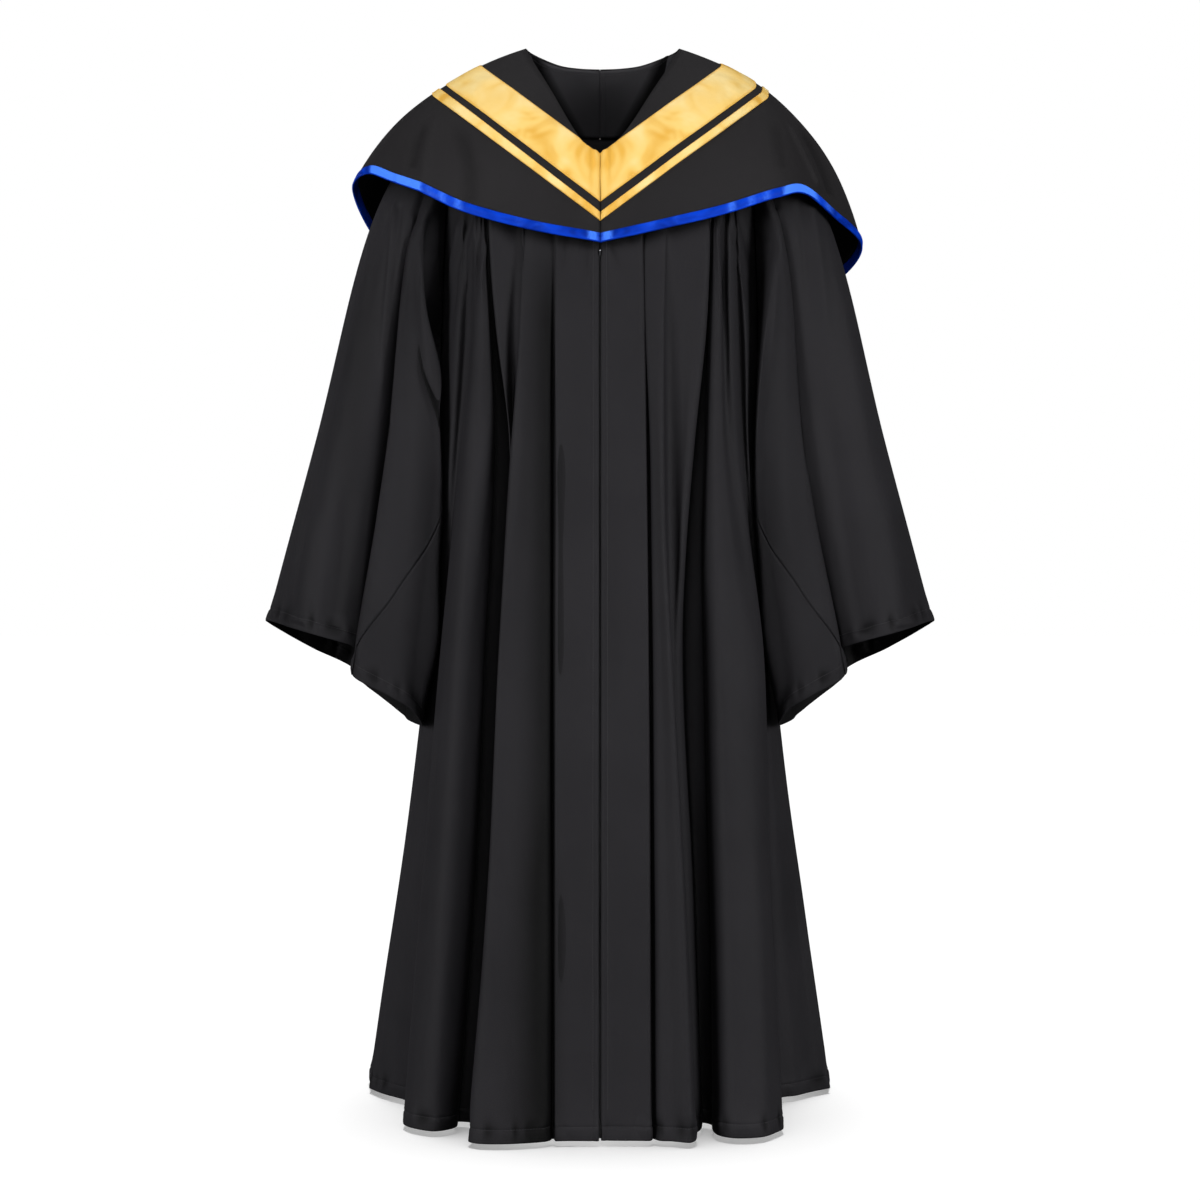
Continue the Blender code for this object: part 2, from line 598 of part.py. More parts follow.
front_panel("front_panel_left", FOLDS_LEFT, PLACKET_LEFT, finish["gown_cloth"])
front_panel("front_panel_right", FOLDS_RIGHT, PLACKET_RIGHT, finish["gown_cloth"])
placket("placket_left", PLACKET_LEFT, finish["gown_cloth"])
placket("placket_right", PLACKET_RIGHT, finish["gown_cloth"])
back_panel(finish["gown_cloth"])
zip_slider(finish["slider_metal"])
for word, side, cape_table in (("left", -1, CAPE_LEFT), ("right", 1, CAPE_RIGHT)):
    zip_tape("zip_tape_" + word, side, finish["zip_tape"])
    yoke("front_yoke_" + word, FRONT_YOKE, side, 0.0, finish["gown_cloth"])
    yoke("back_yoke_" + word, BACK_YOKE, side, HALF_SEAM, finish["gown_cloth"])
    sleeve("sleeve_" + word, side, finish["gown_cloth"])
    sleeve_gore("sleeve_gore_" + word, side, finish["gown_cloth"])
    cape_half(word, cape_table, side)
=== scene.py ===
import json
import math

import bmesh
import bpy
import numpy as np
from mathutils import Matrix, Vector

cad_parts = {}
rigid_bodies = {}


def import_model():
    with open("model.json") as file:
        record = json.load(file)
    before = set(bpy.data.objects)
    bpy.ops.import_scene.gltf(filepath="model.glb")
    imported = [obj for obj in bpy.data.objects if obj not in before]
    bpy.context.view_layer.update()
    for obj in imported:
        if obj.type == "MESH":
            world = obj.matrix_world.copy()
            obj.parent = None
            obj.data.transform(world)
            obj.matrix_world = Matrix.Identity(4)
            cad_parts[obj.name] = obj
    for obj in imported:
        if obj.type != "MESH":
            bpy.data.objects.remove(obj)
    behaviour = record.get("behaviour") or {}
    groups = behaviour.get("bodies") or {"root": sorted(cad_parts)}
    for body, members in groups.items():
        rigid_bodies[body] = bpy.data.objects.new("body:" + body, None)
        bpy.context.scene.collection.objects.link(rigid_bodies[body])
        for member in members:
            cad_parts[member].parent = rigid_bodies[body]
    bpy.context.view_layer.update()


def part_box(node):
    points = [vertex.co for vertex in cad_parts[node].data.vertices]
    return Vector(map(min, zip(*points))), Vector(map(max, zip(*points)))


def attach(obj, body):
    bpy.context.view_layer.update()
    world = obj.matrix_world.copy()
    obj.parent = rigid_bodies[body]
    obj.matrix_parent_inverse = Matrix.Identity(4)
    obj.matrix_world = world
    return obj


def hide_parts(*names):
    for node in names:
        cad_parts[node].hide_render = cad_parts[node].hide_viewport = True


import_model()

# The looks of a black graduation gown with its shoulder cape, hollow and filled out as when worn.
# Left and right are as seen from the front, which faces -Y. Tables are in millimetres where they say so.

MM = 0.001

# ---------------------------------------------------------------- sizes shared with the solids
CLOTH = 0.0012
CAPE_CLOTH = 0.0016
YOKE_Z = -0.165
UNDERARM_Z = -0.345
HEM_Z = -1.217
BACK_YOKE_Z = -0.080
SEAM_LEVELS = (YOKE_Z, UNDERARM_Z, -0.470, -0.700, HEM_Z)
PLACKET_TOP_Z = -0.155
PLACKET_LEAN = 0.3
PLACKET_Y = (-0.106, -0.138, -0.152, -0.178, -0.226)
PLACKET_EDGE = {
    "left": (-0.050, -0.050, -0.049, -0.049, -0.048),
    "right": (0.047, 0.049, 0.051, 0.053, 0.054),
}
ZIP_GAP = 0.0018
TUCK = 0.020
BINDING = 0.0108
BAND = 0.046
BAND_TO_STRIPE = 0.0085
STRIPE = 0.0095
SIDE_X = (0.184, 0.194, 0.203, 0.270)
SIDE_Y = (0.006, 0.028, 0.024, 0.010)
ARMHOLE_FRONT = (0.172, -0.078, YOKE_Z)
ARMHOLE_BACK = (0.176, 0.074, BACK_YOKE_Z)
ARMHOLE_ROUND = 0.62
HEM_STITCH = 0.0145
BODY_MIDDLE = (0.0, 0.0, -0.6)
CHEST_MIDDLE = (0.0, 0.0, -0.25)

# Folds of the fronts in millimetres, from the placket to the side: x and y at each of these heights.
FOLD_LEVELS = (-0.165, -0.235, -0.345, -0.470, -0.585, -0.700, -0.950, -1.217)
FOLDS_LEFT = {
    "a_valley": ((-51.5, -104.5), (-51.2, -116), (-50.9, -131), (-51.9, -141), (-51.6, -153), (-51.3, -166), (-50.7, -191), (-50.1, -217)),
    "a_rise": ((-57, -105), (-56.6, -117.5), (-56, -136), (-56.5, -149), (-56.2, -162), (-56, -175), (-55.5, -201), (-55, -227)),
    "a_crown": ((-72.7, -106), (-72.8, -119), (-73.8, -140), (-76.6, -155), (-80.7, -169.3), (-84.7, -183), (-91.5, -209.9), (-102.2, -239)),
    "a_front": ((-82.8, -106), (-83.4, -118), (-85.9, -142), (-88.4, -160), (-95.3, -175.3), (-101.9, -188), (-111, -212.9), (-128.6, -237)),
    "a_ridge": ((-86.1, -105), (-86.2, -118), (-89, -141), (-96, -158), (-102.9, -173.3), (-109.5, -187), (-119.8, -208.9), (-139.7, -229)),
    "a_turn": ((-85.1, -103), (-84.9, -115), (-87.7, -133), (-94.8, -148), (-101.5, -162.3), (-107.9, -176), (-118.2, -195.9), (-138.3, -214)),
    "step_hollow": ((-92.9, -102), (-93.5, -113), (-95.7, -125), (-97, -134), (-100.5, -143), (-104.3, -154), (-114.7, -172), (-134.9, -188)),
    "step_middle": ((-107.5, -104), (-107.4, -117), (-105.3, -133), (-98.4, -144), (-99.4, -150.3), (-103.7, -150), (-114.2, -161.9), (-134.6, -174)),
    "step_edge": ((-124.2, -104), (-123.6, -116.5), (-113.8, -135), (-98.9, -147), (-99.1, -149.3), (-104.1, -140), (-114.7, -149.9), (-135.1, -162)),
    "recess_near": ((-122.2, -101), (-121.6, -111), (-113.1, -112), (-99.3, -112), (-100.9, -115.3), (-105.9, -124), (-116.2, -139.9), (-136.6, -152)),
    "recess_far": ((-126.6, -101), (-126.7, -110), (-125.2, -106), (-119.4, -106), (-123.7, -111.3), (-129.5, -118), (-138.5, -133.9), (-156.8, -146)),
    "b_start": ((-129.4, -102), (-129, -114), (-121.7, -122), (-116.5, -127), (-119.8, -134.3), (-125.5, -142), (-136, -153.9), (-155.9, -164)),
    "b_edge": ((-131, -102.5), (-130.6, -114.5), (-124.3, -130), (-120.5, -137.5), (-124.8, -143), (-130.8, -149), (-141.5, -163), (-161.7, -176)),
    "b_crown": ((-133.3, -103), (-133.1, -115), (-131.5, -133), (-132.1, -143), (-144.8, -149.3), (-153.3, -154), (-166, -170.9), (-179.2, -186)),
    "b_front": ((-136.7, -101), (-136.7, -112), (-137.3, -130), (-145.7, -137), (-157.6, -139.3), (-168.6, -140), (-185.5, -155.9), (-203, -172)),
    "b_ridge": ((-140.1, -101), (-139.8, -111), (-140.4, -122), (-152.4, -122), (-165.7, -119.3), (-178.1, -116), (-195.8, -135.9), (-214.5, -155)),
    "b_turn": ((-142.4, -99), (-142.3, -106), (-143, -114), (-154.1, -112), (-166.5, -108), (-178.5, -104), (-195.7, -121.9), (-214.6, -140)),
    "c_hollow": ((-145.9, -96), (-147.5, -99), (-150.2, -104), (-159.5, -98), (-169.4, -85), (-181.8, -68), (-199.3, -61.9), (-219.7, -57)),
    "c_crown": ((-152.8, -95), (-154.4, -99), (-157.5, -108), (-165.1, -100), (-174.3, -80.3), (-185.8, -60), (-210.4, -43.9), (-237, -33)),
    "c_edge": ((-157.7, -90), (-160.2, -89), (-167.8, -92), (-175.1, -78), (-183.2, -53.3), (-196.3, -28), (-228.3, -13.9), (-258.3, -10)),
}
FOLDS_RIGHT = {
    "a_valley": ((47.6, -103), (48.4, -114), (50.5, -128), (53.7, -136), (54.2, -147.3), (54.7, -160), (55, -186.9), (55.4, -214)),
    "a_start": ((49.8, -104), (49.9, -116), (51.5, -136), (55, -150), (56.7, -164), (58.4, -177), (61.5, -201), (63.8, -225)),
    "a_crown": ((55.9, -105), (56, -118), (57.3, -139), (60.7, -155), (62.8, -169.3), (66.3, -182), (72, -204.9), (76.3, -227)),
    "a_lip": ((67.1, -106), (66.7, -119), (66.1, -141), (66.3, -158), (69, -173.3), (74.1, -187), (86, -210.9), (95, -234)),
    "a_edge": ((73.8, -106), (73.4, -118), (70.4, -140), (70, -156), (71.9, -171.3), (77.4, -185), (90.5, -205.9), (100.7, -226)),
    "a_drop": ((75, -105), (74, -117.5), (70.4, -136.5), (70.2, -150), (72, -164), (77.3, -174), (90.4, -193), (100.8, -212)),
    "hollow": ((80.6, -105), (79.6, -116.5), (76.4, -131), (76, -141), (75.7, -154), (77.4, -164), (90, -180), (100.4, -200)),
    "step_rise": ((93.9, -106), (93.4, -117.5), (91.3, -131.5), (88.3, -142), (84.8, -153), (80.2, -161), (91.8, -176), (102.3, -194)),
    "step_front": ((111.9, -105), (111.2, -118), (106.6, -138), (97.1, -151), (88.9, -158.3), (84.4, -160), (96, -172), (106.5, -187)),
    "step_edge": ((124.2, -104), (122.9, -117), (116.3, -136), (102.8, -148), (93.1, -154.3), (88.9, -154), (100.5, -163), (110.1, -176)),
    "recess_near": ((122.2, -101), (121.4, -110), (115.4, -108), (103.4, -108), (96.6, -113.3), (93.9, -120), (104, -135.9), (112.3, -150)),
    "recess_far": ((125.5, -101), (125, -110), (123.4, -106), (118.6, -106), (113.3, -113.3), (113.6, -122), (119, -141.9), (122, -160)),
    "b_start": ((127.2, -102), (126.2, -114), (120.6, -123), (116.4, -124), (114.1, -129.3), (115.7, -140), (119.8, -163.9), (124.1, -186)),
    "b_edge": ((128.8, -102.5), (128.1, -115), (123.4, -130), (119.2, -137), (117.7, -143.3), (120.5, -154), (125.5, -179.9), (129.5, -204)),
    "b_crown": ((131, -103), (130.3, -116), (126.7, -134), (124.7, -143), (126.7, -151.3), (132, -162), (139, -187.9), (143.9, -214)),
    "b_front": ((136.6, -103), (135.8, -116), (134, -133), (136.1, -140), (144.9, -143.3), (156.7, -152), (167.6, -179.9), (175.2, -209)),
    "b_line": ((140.1, -99), (139.4, -106), (137.5, -120), (142.2, -130), (157.1, -131.3), (173.1, -138), (180.6, -165.9), (190.6, -191)),
    "b_ridge": ((144.5, -102), (144, -111), (143.2, -123), (151.2, -126), (167, -121.3), (180.8, -124), (186.1, -151.9), (199.5, -176)),
    "b_turn": ((149.1, -100), (148.6, -108), (150.7, -117), (157.3, -116), (168.3, -110.3), (181.2, -112), (186.5, -139.9), (199.6, -160)),
    "c_hollow": ((151.5, -96), (152.6, -98), (156.7, -102), (161.7, -97), (170.4, -83), (184.2, -65), (192.8, -51.9), (207.7, -38)),
    "c_crown": ((153.9, -96), (155.3, -100), (162.2, -108), (165.2, -100), (175.1, -80.3), (188.2, -58), (207, -36.9), (226.6, -28)),
    "c_edge": ((157.7, -90), (160.1, -90), (168.1, -92), (172.3, -76), (181.9, -51.3), (194.2, -26), (222.3, -6.9), (254.7, -1)),
}

BACK_LEVELS = (BACK_YOKE_Z,) + SEAM_LEVELS
BACK_CENTRE_Y = (0.109, 0.124, 0.134, 0.136, 0.152, 0.208)
BACK_FOLD_DEPTH = (0.0015, 0.003, 0.006, 0.008, 0.012, 0.022)
BACK_ROUND = 0.75
FOLD_FADE = 0.5
# place across the back from the left side seam, -1, to the right one, 1, and height as a share of the folds' depth
BACK_FOLDS = (
    (-1.00, 0.0), (-0.87, 0.35), (-0.74, -0.8), (-0.58, 1.0), (-0.41, -1.0), (-0.25, 0.8), (-0.11, -0.7), (0.06, 1.0),
    (0.22, -0.9), (0.37, 0.8), (0.52, -1.0), (0.69, 1.0), (0.83, -0.7), (0.92, 0.15), (1.00, 0.0),
)

# Lines down the left sleeve, all round it: points at the armhole, upper arm, elbow and cuff.
SLEEVE_LINES = {
    "outer": ((-0.1882, 0.000, -0.060), (-0.262, 0.000, -0.190), (-0.332, 0.002, -0.456), (-0.390, 0.010, -0.669)),
    "front_outer": ((-0.182, -0.0345, -0.093), (-0.243, -0.060, -0.205), (-0.300, -0.073, -0.470), (-0.330, -0.080, -0.681)),
    "dip": ((-0.1795, -0.047, -0.112), (-0.220, -0.0815, -0.222), (-0.255, -0.082, -0.480), (-0.2765, -0.074, -0.697)),
    "hollow": ((-0.1775, -0.057, -0.1285), (-0.212, -0.0780, -0.232), (-0.236, -0.068, -0.490), (-0.2675, -0.052, -0.705)),
    "fold_edge": ((-0.1755, -0.066, -0.143), (-0.2130, -0.086, -0.235), (-0.2416, -0.100, -0.485), (-0.2781, -0.098, -0.7276)),
    "front_middle": ((-0.1737, -0.0755, -0.158), (-0.207, -0.094, -0.243), (-0.216, -0.106, -0.495), (-0.2366, -0.100, -0.7511)),
    "front_inner": ((-0.1785, -0.053, -0.245), (-0.1985, -0.094, -0.258), (-0.1900, -0.100, -0.512), (-0.2145, -0.094, -0.7655)),
    "inner": ((-0.1855, 0.004, -0.347), (-0.1814, -0.090, -0.4067), (-0.1771, -0.094, -0.5345), (-0.2029, -0.080, -0.7818)),
    "back_inner": ((-0.182, 0.0425, -0.245), (-0.202, 0.060, -0.360), (-0.214, 0.040, -0.545), (-0.240, 0.055, -0.778)),
    "back_middle": ((-0.179, 0.064, -0.140), (-0.215, 0.102, -0.270), (-0.262, 0.095, -0.505), (-0.300, 0.092, -0.726)),
    "back_outer": ((-0.1845, 0.048, -0.070), (-0.244, 0.070, -0.200), (-0.308, 0.068, -0.468), (-0.347, 0.070, -0.701)),
}
# On the right the crease lies closer in, and the inner edge closer to the body: shifts in x of those lines in
# millimetres at the same four places.
RIGHT_SLEEVE_FORWARD = {"dip": (0, 0, 4, 0), "hollow": (0, 2, 16, 6)}
RIGHT_SLEEVE_SHIFTS = {
    "front_outer": (0, 6, 6, 3),
    "dip": (0, -7, -8, 0),
    "hollow": (0, -7, -9, -2),
    "fold_edge": (0, -6, -10, -3),
    "front_middle": (0, -4, -5, 0),
    "front_inner": (0, -3, -4, 0),
    "inner": (0, -5, -3, 0),
    "back_inner": (0, -4, -3, 0),
}
# How much lower the cuff hangs at places round it, in millimetres, fading out up the sleeve.
CUFF_DROPS = ((8.0, 0.0), (8.2, 1.0), (8.5, 5.5), (8.7, 8.5), (8.93, 9.3), (9.0, 0.0))
INNER_EDGE_SWELL = {"left": 0.010, "right": 0.006}
GORE_SEAM = (
    (4.0, 0.955), (4.4, 0.910), (5.0, 0.844), (6.0, 0.764),
    (7.0, 0.685), (8.0, 0.800), (8.5, 0.890), (9.0, 0.955),
)
GORE_GAP = 0.0010

# Lines down the cape, from centre front round to centre back: the neck edge, the point that the
# line bends towards, the hem, and the way from the neck edge to the gold band with its slant.
CAPE_LINES = {
    "left": (
        ((0.000, -0.105, -0.143), (0.000, -0.125, -0.190), (0.000, -0.140, -0.2490), 0.0015, 1.36),
        ((-0.026, -0.095, -0.119), (-0.058, -0.128, -0.165), (-0.083, -0.137, -0.2335), 0.003, 1.14),
        ((-0.055, -0.060, -0.063), (-0.120, -0.118, -0.118), (-0.155, -0.127, -0.2115), 0.033, 1.13),
        ((-0.074, -0.025, -0.025), (-0.176, -0.088, -0.080), (-0.201, -0.112, -0.1880), 0.051, 1.13),
        ((-0.081, -0.012, -0.011), (-0.208, -0.058, -0.060), (-0.234, -0.090, -0.1725), 0.055, 1.10),
        ((-0.0868, 0.000, 0.0016), (-0.221, -0.028, -0.048), (-0.266, -0.057, -0.1565), 0.057, 1.07),
        ((-0.082, 0.022, 0.0028), (-0.229, 0.012, -0.044), (-0.2905, 0.006, -0.1605), 0.056, 1.06),
        ((-0.069, 0.046, 0.0020), (-0.228, 0.072, -0.050), (-0.277, 0.078, -0.200), 0.056, 1.04),
        ((-0.048, 0.060, -0.0026), (-0.194, 0.124, -0.056), (-0.232, 0.146, -0.252), 0.059, 1.02),
        ((-0.024, 0.068, -0.0042), (-0.100, 0.150, -0.062), (-0.122, 0.166, -0.292), 0.061, 1.00),
        ((0.000, 0.070, -0.0047), (0.000, 0.154, -0.064), (0.000, 0.172, -0.304), 0.062, 1.00),
    ),
    "right": (
        ((0.000, -0.105, -0.143), (0.000, -0.125, -0.190), (0.000, -0.140, -0.2490), 0.0015, 1.36),
        ((0.029, -0.095, -0.116), (0.056, -0.128, -0.164), (0.074, -0.138, -0.2330), 0.004, 1.15),
        ((0.060, -0.060, -0.062), (0.118, -0.118, -0.118), (0.138, -0.129, -0.2160), 0.031, 1.14),
        ((0.080, -0.025, -0.025), (0.178, -0.088, -0.082), (0.201, -0.112, -0.1940), 0.046, 1.13),
        ((0.0865, -0.012, -0.011), (0.214, -0.058, -0.062), (0.231, -0.088, -0.1860), 0.051, 1.09),
        ((0.0926, 0.000, 0.0016), (0.242, -0.026, -0.050), (0.268, -0.050, -0.2050), 0.052, 1.05),
        ((0.088, 0.022, 0.0028), (0.268, 0.012, -0.047), (0.308, 0.018, -0.2260), 0.052, 1.05),
        ((0.073, 0.046, 0.0020), (0.252, 0.072, -0.054), (0.294, 0.082, -0.252), 0.053, 1.03),
        ((0.050, 0.060, -0.0026), (0.200, 0.126, -0.058), (0.240, 0.150, -0.278), 0.058, 1.02),
        ((0.025, 0.068, -0.0042), (0.102, 0.150, -0.062), (0.125, 0.166, -0.298), 0.061, 1.00),
        ((0.000, 0.070, -0.0047), (0.000, 0.154, -0.064), (0.000, 0.172, -0.304), 0.062, 1.00),
    ),
}
LEAST_BAND_START = 0.0012

# Soft upright puckers of the gold band beside its centre seam: way from it and height, in millimetres.
SEAM_PUCKERS = ((4.0, 1.6), (8.5, -0.9), (13.0, 1.2), (19.0, 0.6))

# Painted highlights on the blue edge, where it shines: x in millimetres, spread along it and strength.
BLUE_PAINTED_HIGHLIGHTS = {
    "left": ((-8, 7, 0.9), (-66, 14, 0.30), (-90, 10, 0.3), (-130, 9, 0.25), (-157, 7, 0.6), (-175, 8, 0.5), (-190, 7, 0.4),
             (-206, 7, 1.1), (-222, 8, 1.6), (-240, 7, 1.7), (-254, 8, 1.7)),
    "right": ((8, 7, 0.9), (56, 14, 0.30), (84, 10, 0.3), (120, 9, 0.25), (146, 7, 0.6), (168, 7, 0.5), (186, 7, 0.5),
              (213, 9, 1.1), (228, 9, 1.1), (240, 8, 0.9), (262, 9, 0.5)),
}

# The sewn edges of the gold band and stripe run straight as seen from the front. Ends of each in millimetres, at
# the shoulder and at centre front, as they stand in the plane of the shoulders.
BAND_EDGES = {
    "left": (
        ((-136.9, -19.9), (0.0, -120.5)), ((-180.2, -41.0), (0.0, -177.8)),
        ((-186.0, -45.6), (0.0, -189.5)), ((-198.9, -51.5), (0.0, -200.1)),
    ),
    "right": (
        ((140.4, -19.9), (0.0, -120.5)), ((186.0, -42.1), (0.0, -177.8)),
        ((194.0, -46.0), (0.0, -189.5)), ((203.6, -51.5), (0.0, -200.1)),
    ),
}

# Lines down the yokes of the left side, from the centre to the armhole: top edge, bend and lower edge.
FRONT_YOKE = (
    ((-0.020, -0.089, -0.131), (-0.021, -0.093, -0.148), (-0.022, -0.1022, -0.1642)),
    ((-0.046, -0.066, -0.087), (-0.053, -0.087, -0.118), (-0.060, -0.1022, -0.1642)),
    ((-0.0725, -0.033, -0.0400), (-0.080, -0.080, -0.088), (-0.082, -0.1015, -0.1642)),
    ((-0.085, -0.003, -0.0055), (-0.094, -0.065, -0.065), (-0.100, -0.1005, -0.1642)),
    ((-0.135, -0.002, -0.030), (-0.138, -0.060, -0.068), (-0.140, -0.0950, -0.1642)),
    ((-0.186, -0.002, -0.060), (-0.180, -0.044, -0.094), (-0.172, -0.0780, -0.1642)),
)
BACK_YOKE = (
    ((0.000, 0.0655, -0.0080), (0.000, 0.085, -0.038), (0.000, 0.1070, -0.0792)),
    ((-0.045, 0.0560, -0.0060), (-0.058, 0.082, -0.038), (-0.070, 0.1050, -0.0792)),
    ((-0.070, 0.0360, -0.0030), (-0.080, 0.078, -0.038), (-0.092, 0.1015, -0.0792)),
    ((-0.084, 0.003, -0.0060), (-0.100, 0.068, -0.040), (-0.120, 0.0970, -0.0792)),
    ((-0.135, 0.002, -0.030), (-0.145, 0.058, -0.050), (-0.150, 0.0880, -0.0792)),
    ((-0.186, 0.002, -0.060), (-0.184, 0.044, -0.066), (-0.176, 0.0740, -0.0792)),
)


# ---------------------------------------------------------------- camera, light and floor
def aim(thing, target):
    """Turns a camera or lamp so that it looks at a point."""
    way = Vector(target) - thing.location
    thing.rotation_euler = way.to_track_quat("-Z", "Y").to_euler()


def soft_box(name, place, target, size, power):
    """A rectangular studio light."""
    lamp = bpy.data.lights.new(name, "AREA")
    lamp.shape = "RECTANGLE"
    lamp.size, lamp.size_y = size
    lamp.energy = power
    made = bpy.data.objects.new(name, lamp)
    made.location = place
    bpy.context.scene.collection.objects.link(made)
    aim(made, target)
    return made


VIEW_WIDTH = 1.404
VIEW_DISTANCE = 2.4
camera_data = bpy.data.cameras.new("camera")
camera_data.sensor_width = 36.0
camera_data.lens = 36.0 * VIEW_DISTANCE / VIEW_WIDTH
camera = bpy.data.objects.new("camera", camera_data)
camera.location = (0.0, -VIEW_DISTANCE, -0.6435)
camera.rotation_euler = (math.pi / 2, 0.0, 0.0)
bpy.context.scene.collection.objects.link(camera)
bpy.context.scene.camera = camera
bpy.context.scene.view_settings.view_transform = "Standard"

# name, place, point it looks at, size and power
for name, place, target, size, power in (
    ("key_light", (0.0, -4.2, 1.2), (0.0, 0.0, -0.6), (1.8, 1.6), 62.0),
    ("left_light", (-3.3, -2.7, 0.2), (0.0, 0.0, -0.65), (1.4, 2.2), 178.0),
    ("right_light", (3.3, -2.7, 0.2), (0.0, 0.0, -0.65), (1.4, 2.2), 178.0),
    ("low_light", (0.0, -2.8, -1.15), (0.0, 0.0, -0.55), (2.4, 0.3), 12.0),
    ("top_light", (0.0, 0.2, 2.2), (0.0, 0.0, -0.4), (1.6, 1.0), 14.0),
    ("back_light", (0.4, 3.6, 0.8), (0.0, 0.0, -0.5), (2.0, 2.0), 90.0),
    ("back_side_light", (-2.6, 2.6, 0.2), (0.0, 0.0, -0.5), (2.0, 2.0), 90.0),
):
    lamp = soft_box(name, place, target, size, power)
    lamp.visible_glossy = not name.startswith("back")

world = bpy.data.worlds.new("studio")
world.use_nodes = True
bpy.context.scene.world = world
background = world.node_tree.nodes["Background"]
seen = world.node_tree.nodes.new("ShaderNodeLightPath")
strength = world.node_tree.nodes.new("ShaderNodeMapRange")
strength.inputs["To Min"].default_value = 0.05
strength.inputs["To Max"].default_value = 1.0
world.node_tree.links.new(seen.outputs["Is Camera Ray"], strength.inputs["Value"])
world.node_tree.links.new(strength.outputs["Result"], background.inputs["Strength"])
background.inputs["Color"].default_value = (1.0, 1.0, 1.0, 1.0)


# ---------------------------------------------------------------- finishes
class Wire:
    """A socket in a material. Arithmetic on it adds the Math nodes."""

    def __init__(self, finish, socket):
        self.finish = finish
        self.socket = socket

    def __add__(self, other):
        return self.finish.maths("ADD", self, other)

    __radd__ = __add__

    def __sub__(self, other):
        return self.finish.maths("SUBTRACT", self, other)

    def __rsub__(self, other):
        return self.finish.maths("SUBTRACT", other, self)

    def __mul__(self, other):
        return self.finish.maths("MULTIPLY", self, other)

    __rmul__ = __mul__

    def __pow__(self, other):
        return self.finish.maths("POWER", self, other)


class Finish:
    """A material on the Principled shader, whose other nodes come from calls and expressions."""

    def __init__(self, name, colour, roughness, **constants):
        self.material = bpy.data.materials.new(name)
        self.material.use_nodes = True
        self.tree = self.material.node_tree
        self.shader = self.tree.nodes["Principled BSDF"]
        self.shader.inputs["Base Color"].default_value = (*colour, 1.0)
        self.shader.inputs["Roughness"].default_value = roughness
        for word, value in constants.items():
            self.shader.inputs[word.replace("_", " ")].default_value = value

    def fill(self, socket, value):
        if isinstance(value, Wire):
            self.tree.links.new(value.socket, socket)
        elif isinstance(value, tuple) and len(value) == 3 and socket.type == "RGBA":
            socket.default_value = (*value, 1.0)
        else:
            socket.default_value = value

    def node(self, kind, sockets=None, output=0, **settings):
        """Adds a node: its settings first, then the values or links of its sockets."""
        made = self.tree.nodes.new("ShaderNode" + kind)
        for word, value in settings.items():
            setattr(made, word, value)
        for word, value in (sockets or {}).items():
            self.fill(made.inputs[word], value)
        return Wire(self, made.outputs[output])

    def maths(self, operation, *values):
        return self.node("Math", dict(enumerate(values)), operation=operation)

    def ramp(self, value, low, high):
        """0 below low, 1 above high and smooth between."""
        sockets = {"Value": value, "From Min": low, "From Max": high}
        return self.node("MapRange", sockets, interpolation_type="SMOOTHSTEP")

    def blend(self, share, first, second):
        """A colour between two colours."""
        return self.node("Mix", {0: share, 6: first, 7: second}, output=2, data_type="RGBA")

    def noise(self, place, scale, detail=2.0, roughness=0.5, distortion=0.0):
        sockets = {
            "Vector": place, "Scale": scale, "Detail": detail,
            "Roughness": roughness, "Distortion": distortion,
        }
        return self.node("TexNoise", sockets)

    def stretched(self, place, scale):
        return self.node("Mapping", {"Vector": place, "Scale": scale})

    def feed(self, word, wire):
        self.tree.links.new(wire.socket, self.shader.inputs[word])

    def bump(self, *layers):
        """Chains Bump nodes, one for each pair of height and distance."""
        normal = None
        for height, distance in layers:
            sockets = {"Height": height, "Distance": distance}
            if normal is not None:
                sockets["Normal"] = normal
            normal = self.node("Bump", sockets)
        self.feed("Normal", normal)


def black_cloth(name, light, dark, hollow=(0.0010, 0.0010, 0.0011), grain=1.0):
    """Woven black polyester: a fine twill with a soft sheen, in patches lighter, and painted shade in its folds, its
    colour going towards the near-black hollow colour.
    """
    made = Finish(
        name, light, 0.56, Specular_IOR_Level=0.075, Sheen_Weight=0.01, Sheen_Roughness=0.35,
        Sheen_Tint=(0.75, 0.72, 0.80, 1.0),
    )
    place = made.node("TexCoord", output=3)
    cloth = made.node("UVMap", uv_map="cloth")
    patches = made.noise(place, 7.0, 3.0)
    threads = made.noise(made.stretched(cloth, (900.0, 1500.0, 1.0)), 1.0, 1.0)
    twill = made.node("TexWave", {"Vector": made.stretched(cloth, (1.0, 1.0, 1.0)), "Scale": 700.0, "Distortion": 0.6,
                                  "Detail": 1.0, "Detail Scale": 2.0}, wave_type="BANDS", bands_direction="DIAGONAL")
    creases = made.noise(made.stretched(place, (22.0, 22.0, 7.0)), 1.0, 3.0, 0.55)
    weave = made.blend(made.ramp(patches * 0.4 + threads * 0.6, 0.35, 0.65), dark, light)
    # Painted shade: ambient occlusion and the mesh's painted shade values darken the base colour towards the hollow
    # colour.
    open_air = made.node("AmbientOcclusion", {"Distance": 0.055}, output=1, samples=8)
    painted_shade = made.node("Attribute", output=2, attribute_name="painted_shade")
    made.feed("Base Color", made.blend(made.ramp(open_air, 0.02, 0.72) * (1.0 - painted_shade), hollow, weave))
    made.feed("Roughness", 0.50 + patches * 0.10 + threads * 0.06)
    made.bump((creases, 0.0020), (twill, 0.00008 * grain), (threads, 0.00016 * grain))
    return made.material


